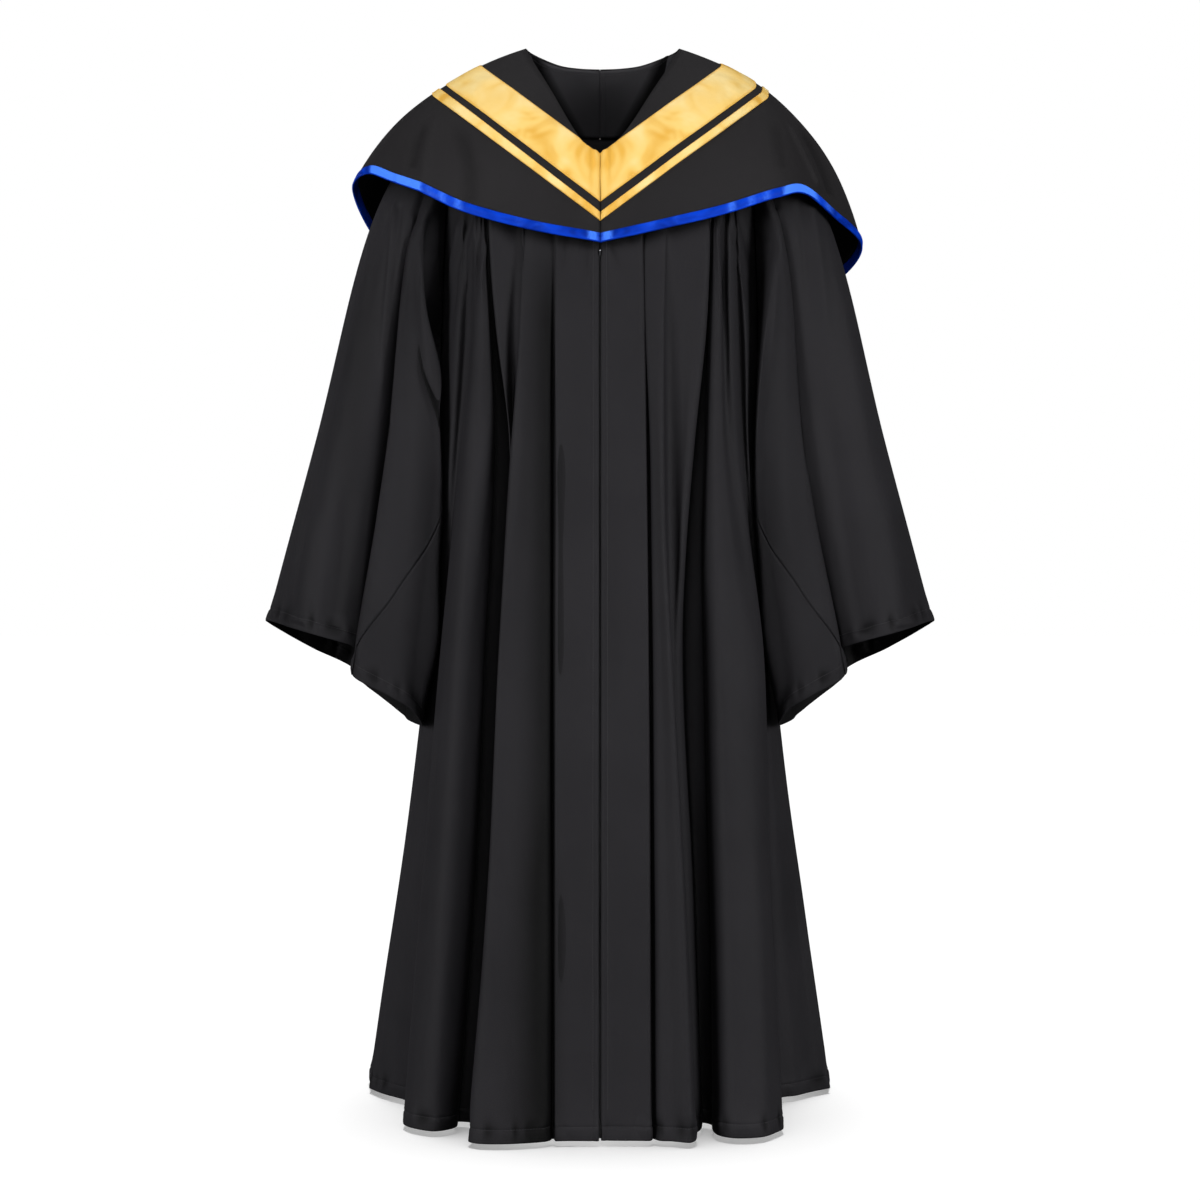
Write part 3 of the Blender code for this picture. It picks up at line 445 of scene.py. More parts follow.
def satin(name, light, middle, dark, roughness, patch, specular, limits=(0.30, 0.48, 0.40, 0.66), painted_highlight=None):
    """Shiny satin whose colour wanders in soft light and dark patches across the ribbon, partly its own uneven tone and
    partly painted sheen and painted shade, with painted highlights where the ribbon has its own.
    """
    made = Finish(name, middle, roughness, Specular_IOR_Level=specular, Anisotropic=0.3)
    place = made.node("TexCoord", output=3)
    cloth = made.node("UVMap", uv_map="cloth")
    clouds = made.noise(made.stretched(cloth, patch), 1.0, 2.0, 0.45, 0.6)
    threads = made.noise(made.stretched(cloth, (1800.0, 500.0, 1.0)), 1.0, 1.0)
    # The light and dark patches are partly the satin's own tone and partly painted sheen and painted shade.
    tone_and_painted_sheen = made.ramp(clouds, limits[2], limits[3])
    shade = made.ramp(clouds, limits[0], limits[1])
    colour = made.blend(tone_and_painted_sheen, made.blend(shade, dark, middle), light)
    # Painted shade: the mesh's painted shade values take the colour towards the dark one.
    painted_shade = made.node("Attribute", output=2, attribute_name="painted_shade")
    colour = made.blend(painted_shade, colour, dark)
    # Painted highlights: where the mesh's painted highlight values say, the colour goes in streaks to a bright
    # highlight colour.
    if painted_highlight:
        painted_highlight_amount = made.node("Attribute", output=2, attribute_name="painted_highlight")
        streaks = made.noise(made.stretched(cloth, (260.0, 110.0, 1.0)), 1.0, 2.0, 0.5, 1.5)
        colour = made.blend(made.ramp(painted_highlight_amount * (0.55 + streaks * 0.9) + clouds * 0.2, 0.30, 1.10), colour, painted_highlight)
    made.feed("Base Color", colour)
    made.feed("Roughness", roughness + 0.10 - clouds * 0.18 + threads * 0.05)
    ripples = made.noise(made.stretched(place, (60.0, 60.0, 60.0)), 1.0, 2.0, 0.4)
    made.bump((ripples, 0.0012), (threads, 0.00004))
    return made.material


def plain(name, colour, roughness, metallic=0.0, scale=600.0):
    """Thread, zip tape or metal, with a fine unevenness."""
    made = Finish(name, colour, roughness, Metallic=metallic, Specular_IOR_Level=0.3)
    place = made.node("TexCoord", output=3)
    fine = made.noise(place, scale, 2.0)
    made.feed("Roughness", roughness - 0.08 + fine * 0.16)
    made.bump((fine, 0.00008))
    return made.material


finish = {
    "gown_cloth": black_cloth("gown_cloth", (0.0147, 0.0140, 0.0159), (0.0098, 0.0094, 0.0107)),
    "cape_cloth": black_cloth("cape_cloth", (0.0140, 0.0131, 0.0140), (0.0104, 0.0097, 0.0104)),
    # Each satin's light colour is partly painted sheen, and its dark colour partly painted shade.
    "gold_satin": satin(
        "gold_satin", (0.66, 0.50, 0.205), (0.645, 0.435, 0.125), (0.55, 0.30, 0.040), 0.46, (26.0, 20.0, 1.0), 0.20,
        (0.32, 0.52, 0.46, 0.70),
    ),
    "blue_satin": satin(
        "blue_satin", (0.0016, 0.036, 0.42), (0.0008, 0.024, 0.30), (0.0003, 0.013, 0.18), 0.42, (30.0, 60.0, 1.0),
        0.03, painted_highlight=(0.050, 0.18, 0.80),
    ),
    "zip_tape": plain("zip_tape", (0.010, 0.010, 0.011), 0.75),
    # A lighter copy of the gown cloth for the inside of the back yokes: painted light.
    "neck_cloth_painted_light": black_cloth("neck_cloth_painted_light", (0.038, 0.037, 0.040), (0.030, 0.029, 0.032)),
    # A darker copy of the gown cloth for the inside of the sleeves and gores: painted shade.
    "inner_cloth_painted_shade": black_cloth("inner_cloth_painted_shade", (0.0030, 0.0029, 0.0033), (0.0022, 0.0021, 0.0024)),
    "thread": plain("thread", (0.017, 0.016, 0.018), 0.55),
    "gold_thread": plain("gold_thread", (0.80, 0.42, 0.07), 0.5),
    "slider_metal": plain("slider_metal", (0.022, 0.022, 0.024), 0.50, 1.0, 300.0),
    "glint_metal": plain("glint_metal", (0.62, 0.63, 0.65), 0.25, 1.0, 300.0),
}


# ---------------------------------------------------------------- curves and surfaces
def at_levels(levels, values, z):
    """Values at the heights z on smooth curves through the values at the levels."""
    levels, values, z = np.asarray(levels, float), np.asarray(values, float), np.atleast_1d(np.asarray(z, float))
    spread = [1] * (values.ndim - 1)
    slopes = np.diff(values, axis=0) / np.diff(levels).reshape(-1, *spread)
    tangents = np.concatenate([slopes[:1], (slopes[1:] + slopes[:-1]) / 2, slopes[-1:]])
    span = np.clip(np.sum(levels[None, :] > z[:, None], axis=1) - 1, 0, len(levels) - 2)
    width = (levels[span + 1] - levels[span]).reshape(-1, *spread)
    f = (z - levels[span]).reshape(-1, *spread) / width
    start = (2 * f**3 - 3 * f**2 + 1) * values[span] + (f**3 - 2 * f**2 + f) * width * tangents[span]
    end = (3 * f**2 - 2 * f**3) * values[span + 1] + (f**3 - f**2) * width * tangents[span + 1]
    return start + end


def through(points, places, closed=False):
    """Points on centripetal curves through the last row axis of points, at places counted from the first."""
    points, places = np.asarray(points, float), np.asarray(places, float)
    count = points.shape[-2]
    if closed:
        points = np.concatenate([points[..., -1:, :], points, points[..., :2, :]], axis=-2)
    else:
        first = 2 * points[..., :1, :] - points[..., 1:2, :]
        last = 2 * points[..., -1:, :] - points[..., -2:-1, :]
        points = np.concatenate([first, points, last], axis=-2)
    span = np.clip(np.floor(places).astype(int), 0, count - (1 if closed else 2))
    f = (places - span)[:, None]
    p0, p1, p2, p3 = (points[..., span + k, :] for k in range(4))

    def step(a, b):
        return np.maximum(np.linalg.norm(b - a, axis=-1, keepdims=True), 1e-6) ** 0.5

    t1 = step(p0, p1)
    t2 = t1 + step(p1, p2)
    t3 = t2 + step(p2, p3)
    t = t1 + f * (t2 - t1)
    a1 = p0 * (t1 - t) / t1 + p1 * t / t1
    a2 = p1 * (t2 - t) / (t2 - t1) + p2 * (t - t1) / (t2 - t1)
    a3 = p2 * (t3 - t) / (t3 - t2) + p3 * (t - t2) / (t3 - t2)
    b1 = a1 * (t2 - t) / t2 + a2 * t / t2
    b2 = a2 * (t3 - t) / (t3 - t1) + a3 * (t - t1) / (t3 - t1)
    return b1 * (t2 - t) / (t2 - t1) + b2 * (t - t1) / (t2 - t1)


def normals_of(grid, closed=False):
    """Unit normals at the points of a grid, pointing to the same side everywhere."""
    if closed:
        wide = np.concatenate([grid[:, -1:], grid, grid[:, :1]], axis=1)
        across = (wide[:, 2:] - wide[:, :-2]) / 2
    else:
        across = np.gradient(grid, axis=1)
    made = np.cross(np.gradient(grid, axis=0), across)
    return made / np.maximum(np.linalg.norm(made, axis=2, keepdims=True), 1e-12)


def soft_noise(u, v, seed):
    """Smooth noise from -1 to 1 at the places u, v, with lumps about one unit across."""
    lattice = np.random.default_rng(int(seed)).uniform(-1.0, 1.0, (64, 64))
    iu, iv = np.floor(u).astype(int), np.floor(v).astype(int)
    fu, fv = u - iu, v - iv
    fu, fv = fu * fu * (3 - 2 * fu), fv * fv * (3 - 2 * fv)
    corner = lambda a, b: lattice[(iu + a) % 64, (iv + b) % 64]
    near = corner(0, 0) * (1 - fu) + corner(1, 0) * fu
    far = corner(0, 1) * (1 - fu) + corner(1, 1) * fu
    return near * (1 - fv) + far * fv


def lengths_along(grid, axis):
    """Running length of cloth along an axis of the grid."""
    steps = np.linalg.norm(np.diff(grid, axis=axis), axis=2)
    steps = steps.mean(axis=1 - axis)
    return np.concatenate([[0.0], np.cumsum(steps)])


def surface(name, grid, material, inside, closed=False, thickness=CLOTH, grow=-1.0, wrong_side=None):
    """A smooth cloth surface on a grid of points, with its own lengths as UV, thickened by a Solidify.

    The faces look away from the point inside, or from one such point for each column; the wall grows inwards
    from the grid, or outwards for grow=1.
    """
    rows, columns = grid.shape[:2]
    r = np.arange(rows - 1)[:, None]
    c = np.arange(columns if closed else columns - 1)[None, :]
    following = (c + 1) % columns
    quads = np.stack(
        [r * columns + c, (r + 1) * columns + c, (r + 1) * columns + following, r * columns + following], axis=-1
    ).reshape(-1, 4)
    corners = grid.reshape(-1, 3)[quads]
    faced = np.cross(corners[:, 2] - corners[:, 0], corners[:, 3] - corners[:, 1])
    middles = np.broadcast_to(inside, (columns, 3))[quads[:, 0] % columns]
    if ((corners.mean(axis=1) - middles) * faced).sum() < 0:
        quads = quads[:, ::-1]
    mesh = bpy.data.meshes.new(name)
    mesh.vertices.add(rows * columns)
    mesh.vertices.foreach_set("co", grid.reshape(-1).astype(np.float32))
    mesh.loops.add(quads.size)
    mesh.loops.foreach_set("vertex_index", quads.reshape(-1).astype(np.int32))
    mesh.polygons.add(len(quads))
    mesh.polygons.foreach_set("loop_start", np.arange(0, quads.size, 4, dtype=np.int32))
    mesh.polygons.foreach_set("use_smooth", np.ones(len(quads), bool))
    mesh.update(calc_edges=True)
    ring = np.concatenate([grid, grid[:, :1]], axis=1) if closed else grid
    u, v = lengths_along(ring, 1), lengths_along(grid, 0)
    column = quads.reshape(-1) % columns
    if closed:  # the last strip runs on to the full width rather than back to nought
        start = np.repeat(quads.min(axis=1) % columns == 0, 4) & (np.repeat((quads % columns).max(axis=1), 4) == columns - 1)
        column = np.where(start & (column == 0), columns, column)
    layer = mesh.uv_layers.new(name="cloth")
    layer.data.foreach_set("uv", np.stack([u[column], v[quads.reshape(-1) // columns]], axis=1).reshape(-1))
    mesh.materials.append(material)
    made = bpy.data.objects.new(name, mesh)
    bpy.context.scene.collection.objects.link(made)
    if thickness:
        wall = made.modifiers.new("Wall", "SOLIDIFY")
        wall.thickness = thickness
        wall.offset = grow
        wall.use_even_offset = False
        wall.use_rim = True
        if wrong_side:
            mesh.materials.append(wrong_side)
            wall.material_offset = 1
    return made


def place_on(made, node):
    """Puts the piece on the root body and hides the part of the node it stands for."""
    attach(made, "root")
    if node:
        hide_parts(node)


def spread(counts):
    """Places of the columns: each span between two lines is divided by its count."""
    places = [0.0]
    for span, count in enumerate(counts):
        places += [span + (k + 1) / count for k in range(count)]
    return np.array(places)


def along_lines(grid, creases):
    """Sum of soft bands along lines seen from the front or back, at the points of a grid.

    A crease is: its points (x, z) in millimetres, width in millimetres and height, and optionally the
    share of its length that fades out at the start and at the end.
    """
    x, z = grid[..., 0] / MM, grid[..., 2] / MM
    moved = np.zeros(x.shape)
    for points, width, height, *fades in creases:
        fade_in, fade_out = fades if fades else (0.25, 0.35)
        line = np.asarray(points, float)
        parts = np.linalg.norm(np.diff(line, axis=0), axis=1)
        starts = np.concatenate([[0.0], np.cumsum(parts)])
        nearest = np.full(x.shape, np.inf)
        way = np.zeros(x.shape)
        for start, end, length, before in zip(line, line[1:], parts, starts):
            run = (end - start) / length
            along = (x - start[0]) * run[0] + (z - start[1]) * run[1]
            inside = np.clip(along, 0.0, length)
            gap = np.hypot(x - start[0] - run[0] * inside, z - start[1] - run[1] * inside)
            closer = gap < nearest
            nearest = np.where(closer, gap, nearest)
            way = np.where(closer, (before + inside) / starts[-1], way)
        rise = np.clip(way / max(fade_in, 1e-3), 0, 1) * np.clip((1 - way) / max(fade_out, 1e-3), 0, 1)
        rise = rise * rise * (3 - 2 * rise)
        moved += height * rise * np.exp(-((nearest / width) ** 2) * 2)
    return moved


def press(grid, normals, creases):
    """Raises soft ridges or presses troughs along lines, their heights in millimetres."""
    return grid + normals * (along_lines(grid, creases) * MM)[..., None]


def values_on(made, name, values):
    """Values at the points of a mesh, for its material."""
    layer = made.data.attributes.new(name, "FLOAT", "POINT")
    layer.data.foreach_set("value", np.asarray(values, float).reshape(-1).astype(np.float32))


# Where the cloth lies in the shade of its folds, above nought, or catches more light, below nought: lines seen from
# the front in millimetres, width and strength.
SHADES = {
    "front_left": (
        (((-56, -225), (-57, -700), (-56, -1217)), 29, 0.85, 0.12, 0.0),
        (((-66, -820), (-80, -1217)), 34, 0.42, 0.4, 0.0),
        (((-94, -300), (-98, -444), (-101, -585)), 8, -0.5, 0.1, 0.2),
        (((-117, -500), (-129, -640), (-137, -800)), 9, -1.4, 0.1, 0.2),
        (((-145, -700), (-153, -862), (-160, -1000)), 12, -0.8, 0.2, 0.2),
        (((-166, -230), (-168, -307), (-168, -360)), 9, -1.0, 0.1, 0.2),
    ),
    "front_right": (
        (((58, -235), (62, -640), (68, -1000)), 9, -0.6, 0.1, 0.1),
        (((124, -300), (120, -444), (116, -560)), 9, -1.2, 0.1, 0.2),
        (((113, -480), (110, -640), (110, -900)), 10, -1.2, 0.1, 0.2),
        (((125, -700), (131, -862), (138, -1080)), 12, -0.8, 0.2, 0.2),
        (((146, -235), (145, -307), (140, -400)), 10, -0.8, 0.1, 0.2),
    ),
    "strip_left": ((((-49, -880), (-49, -1217)), 13, 0.30, 0.4, 0.0),),
    "strip_right": ((((10, -500), (10, -800)), 30, 0.18, 0.4, 0.4),),
    "sleeve_left": (
        (((-197, -250), (-190, -360), (-180, -470), (-182, -560), (-184, -680), (-203, -775)), 16, -0.8, 0.0, 0.05),
        (((-215, -240), (-222, -444), (-226, -640)), 26, -0.7, 0.0, 0.2),
        (((-255, -250), (-277, -440), (-290, -660)), 26, 0.30, 0.2, 0.0),
    ),
    "sleeve_right": (
        (((190, -240), (184, -355), (179, -430), (178, -530), (184, -680), (203, -775)), 18, -1.2, 0.0, 0.05),
        (((213, -226), (227, -386), (240, -520), (255, -610), (271, -680)), 15, -1.0, 0.1, 0.1),
        (((213, -250), (212, -440), (222, -640)), 20, -0.5, 0.0, 0.2),
    ),
}


def hem_shade(distance, along, seed, pucker=1.0):
    """Shade in the small puckers between a hem's stitching and its edge."""
    short = np.clip(-soft_noise(along / 0.0075, distance * 0, seed), 0, 1) ** 0.7
    return short * np.exp(-(((distance - 0.0125) / 0.009) ** 2)) * 0.85 * pucker


def beads(name, centres, along, out, size, material, sides=6):
    """Many small rounded bodies in one mesh: stitches or teeth, with a length, width and height."""
    along = along / np.maximum(np.linalg.norm(along, axis=1, keepdims=True), 1e-9)
    across = np.cross(out, along)
    across = across / np.maximum(np.linalg.norm(across, axis=1, keepdims=True), 1e-9)
    out = np.cross(along, across)
    rings = ((-1.0, 0.45), (-0.72, 1.0), (0.72, 1.0), (1.0, 0.45))
    turn = np.arange(sides) * 2 * math.pi / sides
    shape = np.array([(a, r * math.cos(t), r * math.sin(t)) for a, r in rings for t in turn]) * np.array(size) / 2
    points = centres[:, None] + along[:, None] * shape[None, :, :1] + across[:, None] * shape[None, :, 1:2] + out[:, None] * shape[None, :, 2:]
    faces = [
        (k * sides + j, k * sides + (j + 1) % sides, (k + 1) * sides + (j + 1) % sides, (k + 1) * sides + j)
        for k in range(len(rings) - 1) for j in range(sides)
    ]
    ends = [tuple(range(sides))[::-1], tuple(range((len(rings) - 1) * sides, len(rings) * sides))]
    loops = np.array([v for face in faces + ends for v in face])
    sizes = np.array([len(face) for face in faces + ends])
    count, each = len(centres), len(shape)
    mesh = bpy.data.meshes.new(name)
    mesh.vertices.add(count * each)
    mesh.vertices.foreach_set("co", points.reshape(-1).astype(np.float32))
    every = (loops[None, :] + np.arange(count)[:, None] * each).reshape(-1)
    mesh.loops.add(len(every))
    mesh.loops.foreach_set("vertex_index", every.astype(np.int32))
    mesh.polygons.add(count * len(sizes))
    starts = np.concatenate([[0], np.cumsum(np.tile(sizes, count))[:-1]])
    mesh.polygons.foreach_set("loop_start", starts.astype(np.int32))
    mesh.polygons.foreach_set("use_smooth", np.ones(count * len(sizes), bool))
    mesh.update(calc_edges=True)
    mesh.materials.append(material)
    made = bpy.data.objects.new(name, mesh)
    bpy.context.scene.collection.objects.link(made)
    return made


def stitches(name, runs, inside, pitch=0.0031, size=(0.0023, 0.00055, 0.00045), material="thread", sides=4, lift=0.0):
    """Rows of stitches on the cloth: each run is a path of points and the way down the cloth at each."""
    centres, along, out = [], [], []
    for path, down in runs:
        steps = np.concatenate([[0.0], np.cumsum(np.linalg.norm(np.diff(path, axis=0), axis=1))])
        at = np.arange(pitch, steps[-1] - pitch, pitch)
        spots = np.stack([np.interp(at, steps, path[:, axis]) for axis in range(3)], axis=1)
        ahead = np.stack([np.interp(at + 0.0006, steps, path[:, axis]) for axis in range(3)], axis=1)
        behind = np.stack([np.interp(at - 0.0006, steps, path[:, axis]) for axis in range(3)], axis=1)
        fall = np.stack([np.interp(at, steps, down[:, axis]) for axis in range(3)], axis=1)
        way = ahead - behind
        face = np.cross(way, fall)
        face = face / np.maximum(np.linalg.norm(face, axis=1, keepdims=True), 1e-12)
        if (face * (spots - inside)).sum() < 0:
            face = -face
        centres.append(spots + face * (lift + size[2] * 0.25))
        along.append(way)
        out.append(face)
    made = beads(name, np.concatenate(centres), np.concatenate(along), np.concatenate(out), size, finish[material], sides)
    place_on(made, None)


def above_edge(grid, distance):
    """Points of the cloth at a distance above its lower edge, one for each column, and the way down there."""
    turned = grid[::-1]
    steps = np.linalg.norm(np.diff(turned, axis=0), axis=2)
    up = np.concatenate([np.zeros((1, grid.shape[1])), np.cumsum(steps, axis=0)])
    here, below = (
        np.array([[np.interp(d, up[:, c], turned[:, c, axis]) for axis in range(3)] for c in range(grid.shape[1])])
        for d in (distance, distance - 0.003)
    )
    return here, below - here


def side_edge(z, armhole):
    """x and y of a panel's right side edge at heights z: the side seam, above the underarm the armhole."""
    below = at_levels(SEAM_LEVELS[1:], tuple(zip(SIDE_X, SIDE_Y)), np.minimum(z, UNDERARM_Z))
    top_x, top_y, top_z = armhole
    share = np.clip((z - UNDERARM_Z) / (top_z - UNDERARM_Z), 0.0, 1.0)
    x = SIDE_X[0] + (top_x - SIDE_X[0]) * share
    y = SIDE_Y[0] + (top_y - SIDE_Y[0]) * share**ARMHOLE_ROUND
    above = np.stack([x, y], axis=1)
    under_arm = 0.0045 * np.exp(-(((z + 0.378) / 0.022) ** 2))
    return np.where((z <= UNDERARM_Z)[:, None], below, above) + under_arm[:, None] * (1.0, 0.0)


def hem_rows(top, bottom, step):
    """Heights of the rows, closer together where the hem is turned up and stitched."""
    rows = np.linspace(top, bottom + 0.024, int((top - bottom - 0.024) / step))
    edge = bottom + np.array([0.021, 0.0185, 0.0165, 0.0155, 0.0145, 0.0135, 0.0125, 0.010, 0.0075, 0.005, 0.0025, 0.0008, 0.0])
    return np.concatenate([rows, edge])


def hem_profile(distance, along, seed, pucker=1.0):
    """How far the turned-up hem stands out, by the distance above its edge and the way along it."""
    turned = 0.0005 * (1 - np.clip((distance - HEM_STITCH) / 0.003, 0, 1))
    groove = -0.0010 * np.exp(-(((distance - HEM_STITCH) / 0.0013) ** 2))
    short = soft_noise(along / 0.0075, distance * 0, seed) * np.exp(-(((distance - 0.0135) / 0.008) ** 2)) * 0.0012
    wide = soft_noise(along / 0.026 + distance / 0.05, distance * 0, seed + 1) * np.exp(-(((distance - 0.010) / 0.018) ** 2)) * 0.0020
    edge = -0.0005 * np.clip(1 - distance / 0.0015, 0, 1)
    return turned + groove + (short + wide) * pucker + edge


# ---------------------------------------------------------------- fronts, plackets and zip
FRONT_CREASES = {
    "left": (
        (((-147.8, -217.4), (-162.1, -270.3), (-167.5, -359.9)), 3.5, -4, 0.05, 0.5),
        (((-158.8, -217.4), (-167.7, -260.5), (-171.8, -317.9)), 3.5, 3, 0.05, 0.6),
        (((-135.5, -215.2), (-144.9, -246.2), (-150.6, -299.2), (-153.9, -342.3)), 4, 2, 0.05, 0.6),
        (((-141.8, -212.6), (-150.7, -241.6), (-156, -278.4), (-160.8, -331.5)), 4, -2, 0.05, 0.6),
        (((-131.4, -218), (-135.9, -259), (-139.4, -320.5)), 2.5, -3, 0.05, 0.6),
        (((-126.8, -240.8), (-131.3, -279.7), (-131, -332)), 3, 2, 0.1, 0.6),
    ),
    "right": (
        (((134.6, -218.5), (137.5, -279.7), (140.2, -354.3), (141.3, -454.4)), 3.5, -2.2, 0.05, 0.6),
        (((130.6, -226.7), (132.3, -289.3), (132.3, -354.5)), 3, 2, 0.05, 0.6),
        (((141.9, -207.7), (151.5, -241.3), (159.7, -267), (163.1, -319.5)), 4, -2.5, 0.05, 0.6),
        (((145.1, -212.6), (154.1, -247), (157.4, -297.4)), 4, 2.5, 0.05, 0.6),
        (((152.4, -203), (166.3, -239), (171.9, -278.3)), 5, -3, 0.05, 0.6),
    ),
}


def front(word, folds):
    """One pleated front, from the yoke seam to the hem, tucked under the placket at its inner edge."""
    side = -1.0 if word == "left" else 1.0
    z = hem_rows(YOKE_Z, HEM_Z, 0.0055)
    edge = at_levels(SEAM_LEVELS, PLACKET_EDGE[word], z)
    behind = at_levels(SEAM_LEVELS, PLACKET_Y, z) + CLOTH + 0.0006
    lines = [np.stack([edge - side * TUCK, behind], axis=1), np.stack([edge - side * 0.001, behind], axis=1)]
    lines += [at_levels(FOLD_LEVELS, np.array(line) * MM, z) for line in folds.values()]
    seam = side_edge(z, ARMHOLE_FRONT) * (side, 1.0) - (0.0, 0.0003)
    lines += [seam]
    flat = np.stack(lines, axis=1)
    points = np.concatenate([flat, np.broadcast_to(z[:, None, None], (*flat.shape[:2], 1))], axis=2)
    gaps = np.linalg.norm(np.diff(points[len(z) // 2], axis=0), axis=1)
    counts = np.clip(np.round(gaps / 0.0023), 3, 12).astype(int)
    grid = through(points, spread(counts))
    normals = normals_of(grid) * side
    if normals[len(z) // 2, 20, 1] > 0:
        normals = -normals
    along = np.cumsum(np.linalg.norm(np.diff(grid[-1], axis=0, prepend=grid[-1][:1]), axis=1))[None, :]
    rise = hem_profile(z[:, None] - HEM_Z, along + 0 * z[:, None], 11 if side < 0 else 23)
    wander = soft_noise(grid[..., 0] / 0.045 + 9, z[:, None] / 0.17, 5) * 0.0010
    top_fade = np.clip((YOKE_Z - z[:, None]) / 0.05, 0, 1)
    grid = grid + normals * (rise + wander * top_fade)[..., None]
    grid = press(grid, normals, FRONT_CREASES[word])
    made = surface("front_" + word, grid, finish["gown_cloth"], BODY_MIDDLE)
    # Painted shade in the troughs of the creases.
    painted_trough_shade = np.clip(-along_lines(grid, FRONT_CREASES[word]), 0, 4) * 0.05
    shade = hem_shade(z[:, None] - HEM_Z, along + 0 * z[:, None], 11 if side < 0 else 23)
    values_on(made, "painted_shade", along_lines(grid, SHADES["front_" + word]) + painted_trough_shade + shade)
    place_on(made, "front_panel_" + word)
    return grid


PLACKET_PUCKERS = {
    "left": (
        (((-9, -232), (-14, -262), (-16, -300)), 4, -1.3, 0.05, 0.6),
        (((-16, -228), (-24, -250), (-30, -285)), 4, 1.0, 0.05, 0.6),
        (((-30, -222), (-38, -250), (-42, -290)), 4, -1.1, 0.05, 0.6),
    ),
    "right": (
        (((8, -232), (14, -256), (26, -280)), 3.5, -1.6, 0.05, 0.5),
        (((12, -228), (22, -244), (36, -262)), 3.5, 1.3, 0.05, 0.5),
        (((20, -222), (32, -240), (42, -250)), 4, -1.5, 0.05, 0.5),
        (((7, -244), (10, -270), (12, -320)), 3.5, 1.1, 0.05, 0.6),
    ),
}


def placket(word):
    """The flat strip beside the zip, with its folded edge rolled and its topstitching sunk in."""
    side = -1.0 if word == "left" else 1.0
    z = np.concatenate([[PLACKET_TOP_Z], hem_rows(YOKE_Z, HEM_Z, 0.006)])
    level = np.minimum(z, YOKE_Z)
    outer = at_levels(SEAM_LEVELS, PLACKET_EDGE[word], level)
    y = at_levels(SEAM_LEVELS, PLACKET_Y, level) + (z - level) * PLACKET_LEAN
    inner = side * ZIP_GAP / 2 + soft_noise(z / 0.06, z * 0, 31 + side) * 0.0002
    width = np.abs(outer - inner)[:, None]
    fine = np.array([0.0, 0.0006, 0.0015, 0.0028, 0.0045, 0.0060, 0.0068, 0.0076, 0.0090])
    shares = np.concatenate([fine / 0.049, np.linspace(0.22, 0.94, 14), 1 - np.array([0.0024, 0.0010, 0.0]) / 0.049])
    inside = shares[None, :] * width
    x = inner[:, None] + side * inside
    rolled = 0.0010 * np.clip(1 - inside / 0.0022, 0, 1) ** 2
    raised = -0.0006 * np.exp(-(((inside - 0.0028) / 0.0020) ** 2)) + 0.0007 * np.exp(-(((inside - 0.0068) / 0.0011) ** 2))
    outer_roll = 0.0014 * np.clip(1 - (width - inside) / 0.0030, 0, 1) ** 2
    sway = soft_noise(z[:, None] / 0.10 + 3, inside / 0.03, 41 + side) * 0.0009
    depth = y[:, None] + rolled + raised + outer_roll + sway
    hem = hem_profile(z[:, None] - HEM_Z, inside, 51 + int(side))
    grid = np.stack([x, depth - hem, np.broadcast_to(z[:, None], x.shape)], axis=2)
    forward = np.broadcast_to((0.0, -1.0, 0.0), grid.shape)
    grid = press(grid, forward, PLACKET_PUCKERS[word])
    made = surface("strip_" + word, grid, finish["gown_cloth"], BODY_MIDDLE)
    # Painted shade in the troughs of the puckers.
    painted_trough_shade = np.clip(-along_lines(grid, PLACKET_PUCKERS[word]), 0, 4) * 0.2
    values_on(made, "painted_shade", along_lines(grid, SHADES["strip_" + word]) + painted_trough_shade)
    place_on(made, "placket_" + word)
    return grid


grids = {}
for word, folds in (("left", FOLDS_LEFT), ("right", FOLDS_RIGHT)):
    grids["front_" + word] = front(word, folds)
    grids["placket_" + word] = placket(word)


# ---------------------------------------------------------------- back and yokes
def back():
    """The gathered back, from the yoke seam to the hem and from side seam to side seam."""
    z = hem_rows(BACK_YOKE_Z, HEM_Z, 0.0075)
    place = np.array([p for p, _ in BACK_FOLDS])
    height = np.array([h for _, h in BACK_FOLDS])
    edge = side_edge(z, ARMHOLE_BACK)
    centre = at_levels(BACK_LEVELS, BACK_CENTRE_Y, z)
    depth = at_levels(BACK_LEVELS, BACK_FOLD_DEPTH, z)
    angle = place * math.pi / 2
    cos = np.maximum(np.cos(angle), 0.0)
    lift = depth[:, None] * height[None, :]
    x = edge[:, :1] * np.sin(angle) + lift * np.sin(angle)
    y = edge[:, 1:] + (centre[:, None] - edge[:, 1:]) * cos**BACK_ROUND + lift * cos**FOLD_FADE
    points = np.stack([x, y + 0.0003, np.broadcast_to(z[:, None], x.shape)], axis=2)
    grid = through(points, spread([11] * (len(place) - 1)))
    normals = normals_of(grid)
    if normals[len(z) // 2, grid.shape[1] // 2, 1] < 0:
        normals = -normals
    along = np.cumsum(np.linalg.norm(np.diff(grid[-1], axis=0, prepend=grid[-1][:1]), axis=1))[None, :]
    rise = hem_profile(z[:, None] - HEM_Z, along + 0 * z[:, None], 61)
    wander = soft_noise(grid[..., 0] / 0.05 + 9, z[:, None] / 0.16, 7) * 0.0016
    fade = np.clip((BACK_YOKE_Z - z[:, None]) / 0.05, 0, 1) * np.clip((0.98 - np.abs(np.linspace(-1, 1, grid.shape[1]))) / 0.1, 0, 1)
    grid = grid + normals * (rise + wander * fade)[..., None]
    made = surface("back", grid, finish["gown_cloth"], BODY_MIDDLE)
    place_on(made, "back_panel")
    return grid


def bend(lines, shares):
    """Rows of points on the arcs of the lines, each from its start to its end bending towards its middle."""
    start, middle, end = (np.array(lines)[None, :, k] for k in range(3))
    s = np.asarray(shares)[:, None, None]
    return (1 - s) ** 2 * start + 2 * s * (1 - s) * middle + s**2 * end


